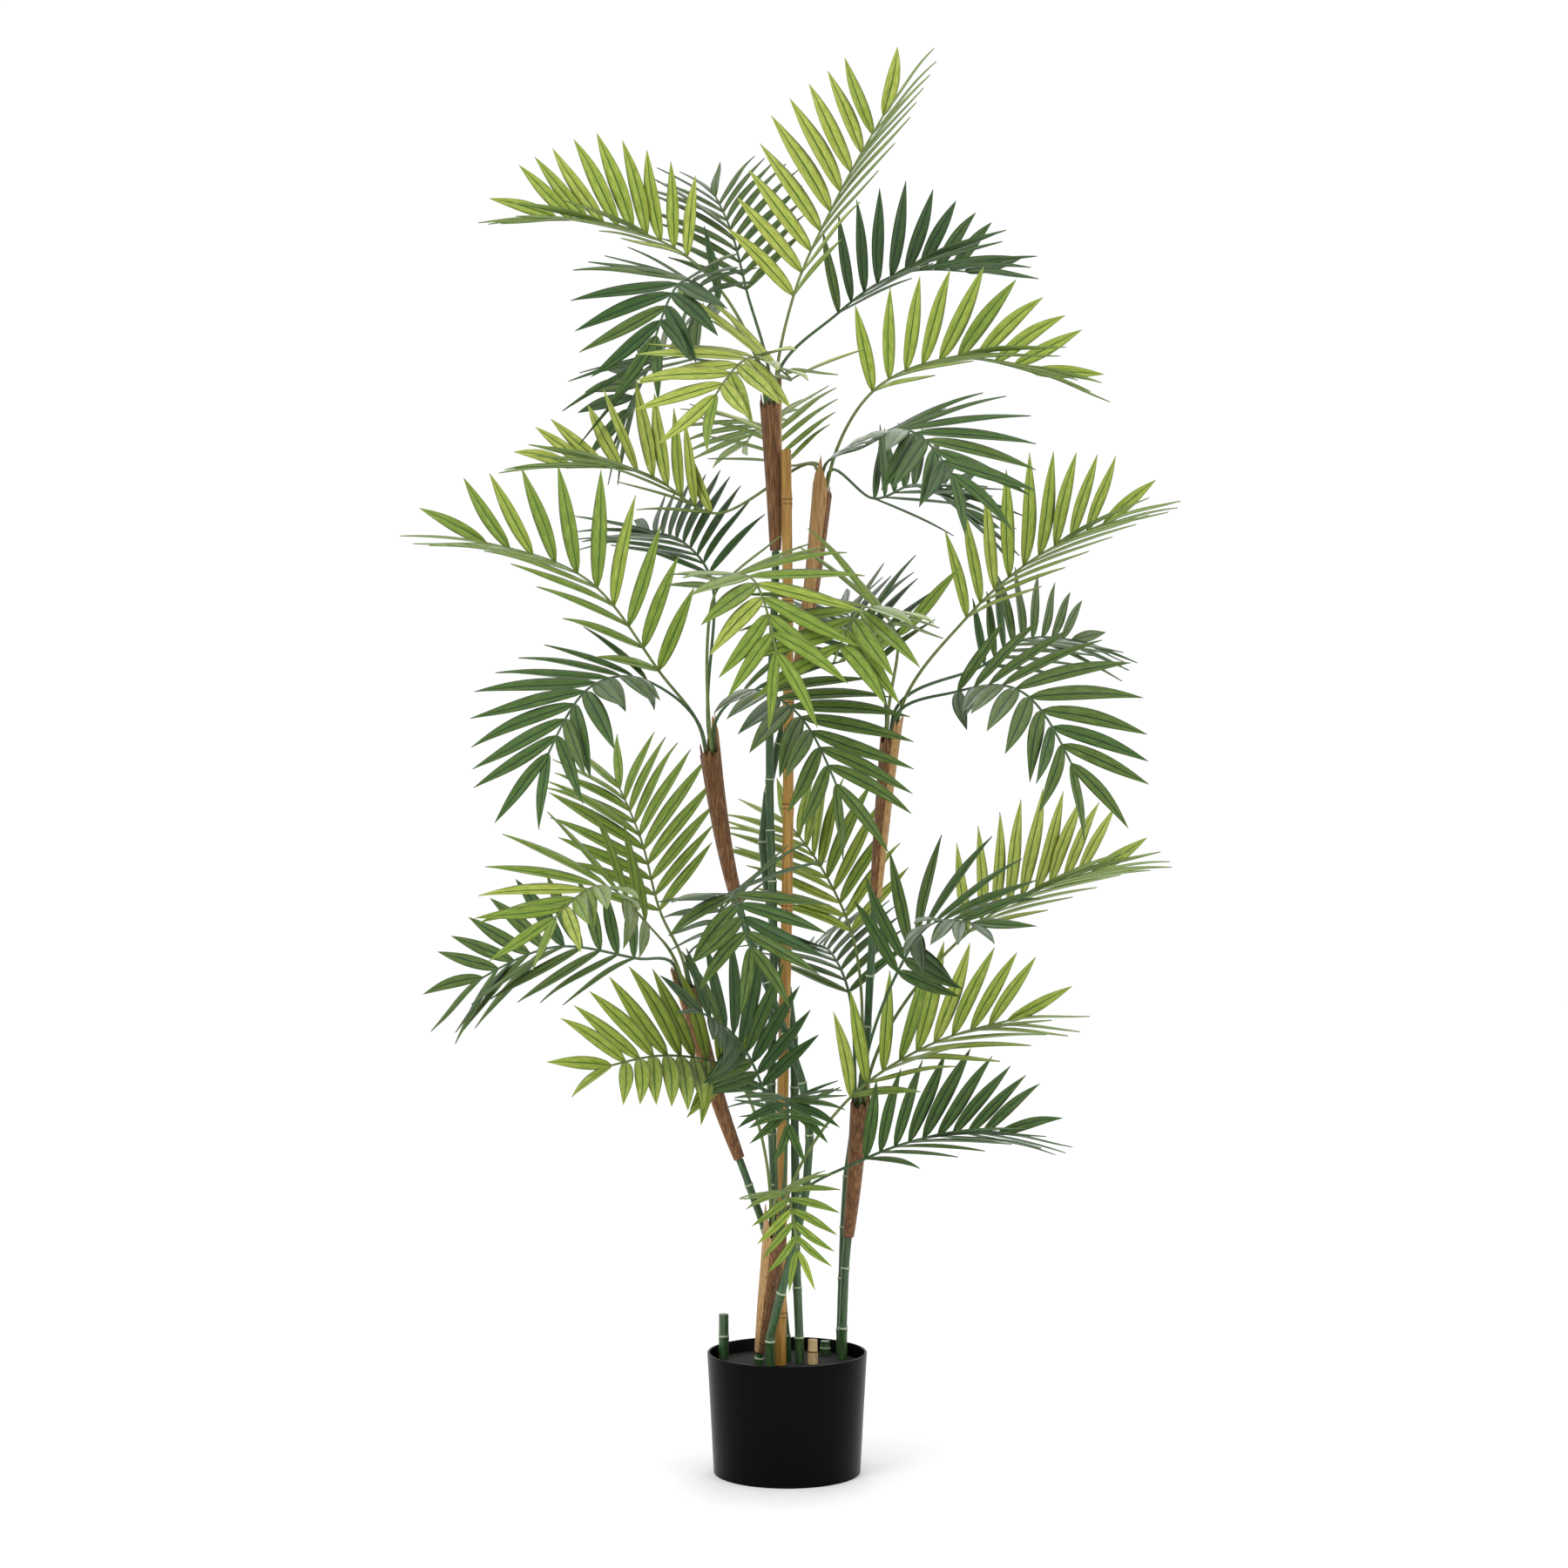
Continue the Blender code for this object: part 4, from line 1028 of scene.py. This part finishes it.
# %% Joined leaflets
class Skin:
    """Points, faces, slots and cloth coordinates of many joined leaflets."""

    def __init__(self):
        self.points, self.faces, self.slots, self.cloth = [], [], [], []

    def face(self, corners, slot, shift):
        """Adds a face; shift moves it along the printed cloth."""
        self.faces.append([index for index, _, _ in corners])
        self.slots.append(slot)
        self.cloth += [(u, v + shift) for _, u, v in corners]

    def leaflet(self, leaf, shade, shift, wave, curl, turn):
        """Adds one leaflet as a closed skin."""
        upper, lower = leaflet_points(leaf, wave, curl, turn)
        half = leaf["width"] / 2
        count = len(ACROSS)
        grids = {1: {}, -1: {}}
        for row, (top_row, low_row) in enumerate(zip(upper, lower)):
            v = leaf["length"] * LAST_ROW * row / ROWS
            for i, point in enumerate(top_row):
                corner = (len(self.points), half * ACROSS[i], v)
                self.points.append(point)
                grids[1][row, i] = corner
                if i in (0, count - 1):
                    grids[-1][row, i] = corner
            for i, point in enumerate(low_row, 1):
                grids[-1][row, i] = (len(self.points), half * ACROSS[i], v)
                self.points.append(point)
        end = (len(self.points), 0.0, leaf["length"])
        self.points.append(leaf["tip"])
        for face_side, grid in grids.items():
            for i in range(count - 1):
                slot = shade if face_side == 1 else UNDERSIDE
                if 0.0 in ACROSS[i:i + 2]:
                    slot = MIDRIB
                for row in range(ROWS):
                    corners = [grid[row, i], grid[row, i + 1], grid[row + 1, i + 1], grid[row + 1, i]]
                    self.face(corners[::face_side], slot, shift)
                corners = [grid[ROWS, i], grid[ROWS, i + 1], end]
                self.face(corners[::face_side], DRY_TIP, shift)
        butt = [grids[1][0, i] for i in range(count)]
        butt += [grids[-1][0, i] for i in range(count - 2, 0, -1)]
        self.face(butt[::-1], MIDRIB, shift)

    def object(self, name, materials):
        """The skin as one object."""
        mesh = bpy.data.meshes.new(name)
        mesh.from_pydata(self.points, [], self.faces)
        mesh.uv_layers.new(name="cloth").uv.foreach_set("vector", [c for uv in self.cloth for c in uv])
        mesh.polygons.foreach_set("material_index", self.slots)
        mesh.update()
        mesh.shade_smooth()
        return add_object(name, mesh, materials)


print("points to a leaflet", (ROWS + 1) * (2 * len(ACROSS) - 2) + 1)

# %% [markdown]
# ## Deal out the leaflets
# Leaflets from one press differ a little: some are printed paler, and all are bent by packing
# and by hand. Random draws from a fixed seed give the same plant at every run.

# %% Make the leaflets
SHIFT = 0.37  # moves the print on, so no two leaflets share a streak
PRINT_LENGTH = 7  # metres
USUAL_SHADE = 0.72  # share of a frond's leaflets that keep its own shade
WAVE = 0.0010  # most that a leaflet waves up and down, in metres
CURL = 0.0030  # and that it curls to a side
TURN = 9  # and turns at its tip, in degrees
draw = random.Random(11)
for tint in ("light", "dark"):
    skin = Skin()
    shade_count = len(SHADES[tint])
    names = []
    for frond in fronds:
        if frond.tint != tint:
            continue
        names.append("frond_" + frond.name)
        usual = draw.randrange(shade_count)
        for leaf in leaves[frond.name].values():
            shade = usual if draw.random() < USUAL_SHADE else draw.randrange(shade_count)
            skin.leaflet(
                leaf, shade, SHIFT * len(skin.faces) % PRINT_LENGTH, draw.uniform(-WAVE, WAVE),
                draw.uniform(-CURL, CURL), math.radians(draw.uniform(-TURN, TURN)),
            )
    piece = skin.object(tint + "_leaflets", cloth_set(tint))
    finish_piece(piece, tint + "_leaf", *names)

# %% [markdown]
# ## Petioles and ribs
# The rib is a wire in a moulded olive skin, with a shallow channel on its upper side. It
# tapers all the way to the last pair, and its foot stands in the sheath. A curve with a bevel
# would give a round rib. Rings of points can be drawn in on one side for the channel.

# %% Ribs
RIB_SIDES = 8
RIB_STEP = 0.008
CHANNEL = 0.45  # how far the upper side of the rib is drawn in
CHANNEL_WIDTH = 0.5  # as a share of the rib's width

# Moulded polyethylene over wire: olive, semi-matt
RIB_FINISH = dict(grain_mm=(2, 2, 14), roughness=0.5, relief_mm=0.05)
olive = {
    "light": grained("olive_rib", ("#4b5c2a", "#66753c", "#7a8748"), **RIB_FINISH),
    "dark": grained("deep_rib", ("#2c4428", "#3e5934", "#506a3f"), **RIB_FINISH),
}
print("rib finishes", olive["light"].name, olive["dark"].name)

# %% Make the ribs
for tint in ("light", "dark"):
    bm = bmesh.new()
    for frond in fronds:
        if frond.tint != tint:
            continue
        steps = round(frond.route.length / RIB_STEP)
        rings = []
        for k in range(steps + 1):
            mark = frond.route.length * k / steps
            place, _, right, up = frond.axes(mark)
            radius = rachis_radius(frond, mark)
            ring = []
            for i in range(RIB_SIDES):
                a = 2 * math.pi * (i + 0.5) / RIB_SIDES
                height = math.sin(a)
                if height > 0 and abs(math.cos(a)) < CHANNEL_WIDTH:
                    height *= 1 - CHANNEL
                ring.append(bm.verts.new(place + (right * math.cos(a) + up * height) * radius))
            rings.append(ring)
        for lower, upper in zip(rings, rings[1:]):
            bridge(bm, lower, upper, [0] * RIB_SIDES)
        bm.faces.new(rings[0][::-1])
        bm.faces.new(rings[-1])
    item = object_from(tint + "_ribs", bm, (olive[tint],))
    finish_piece(item, tint + "_leaf")
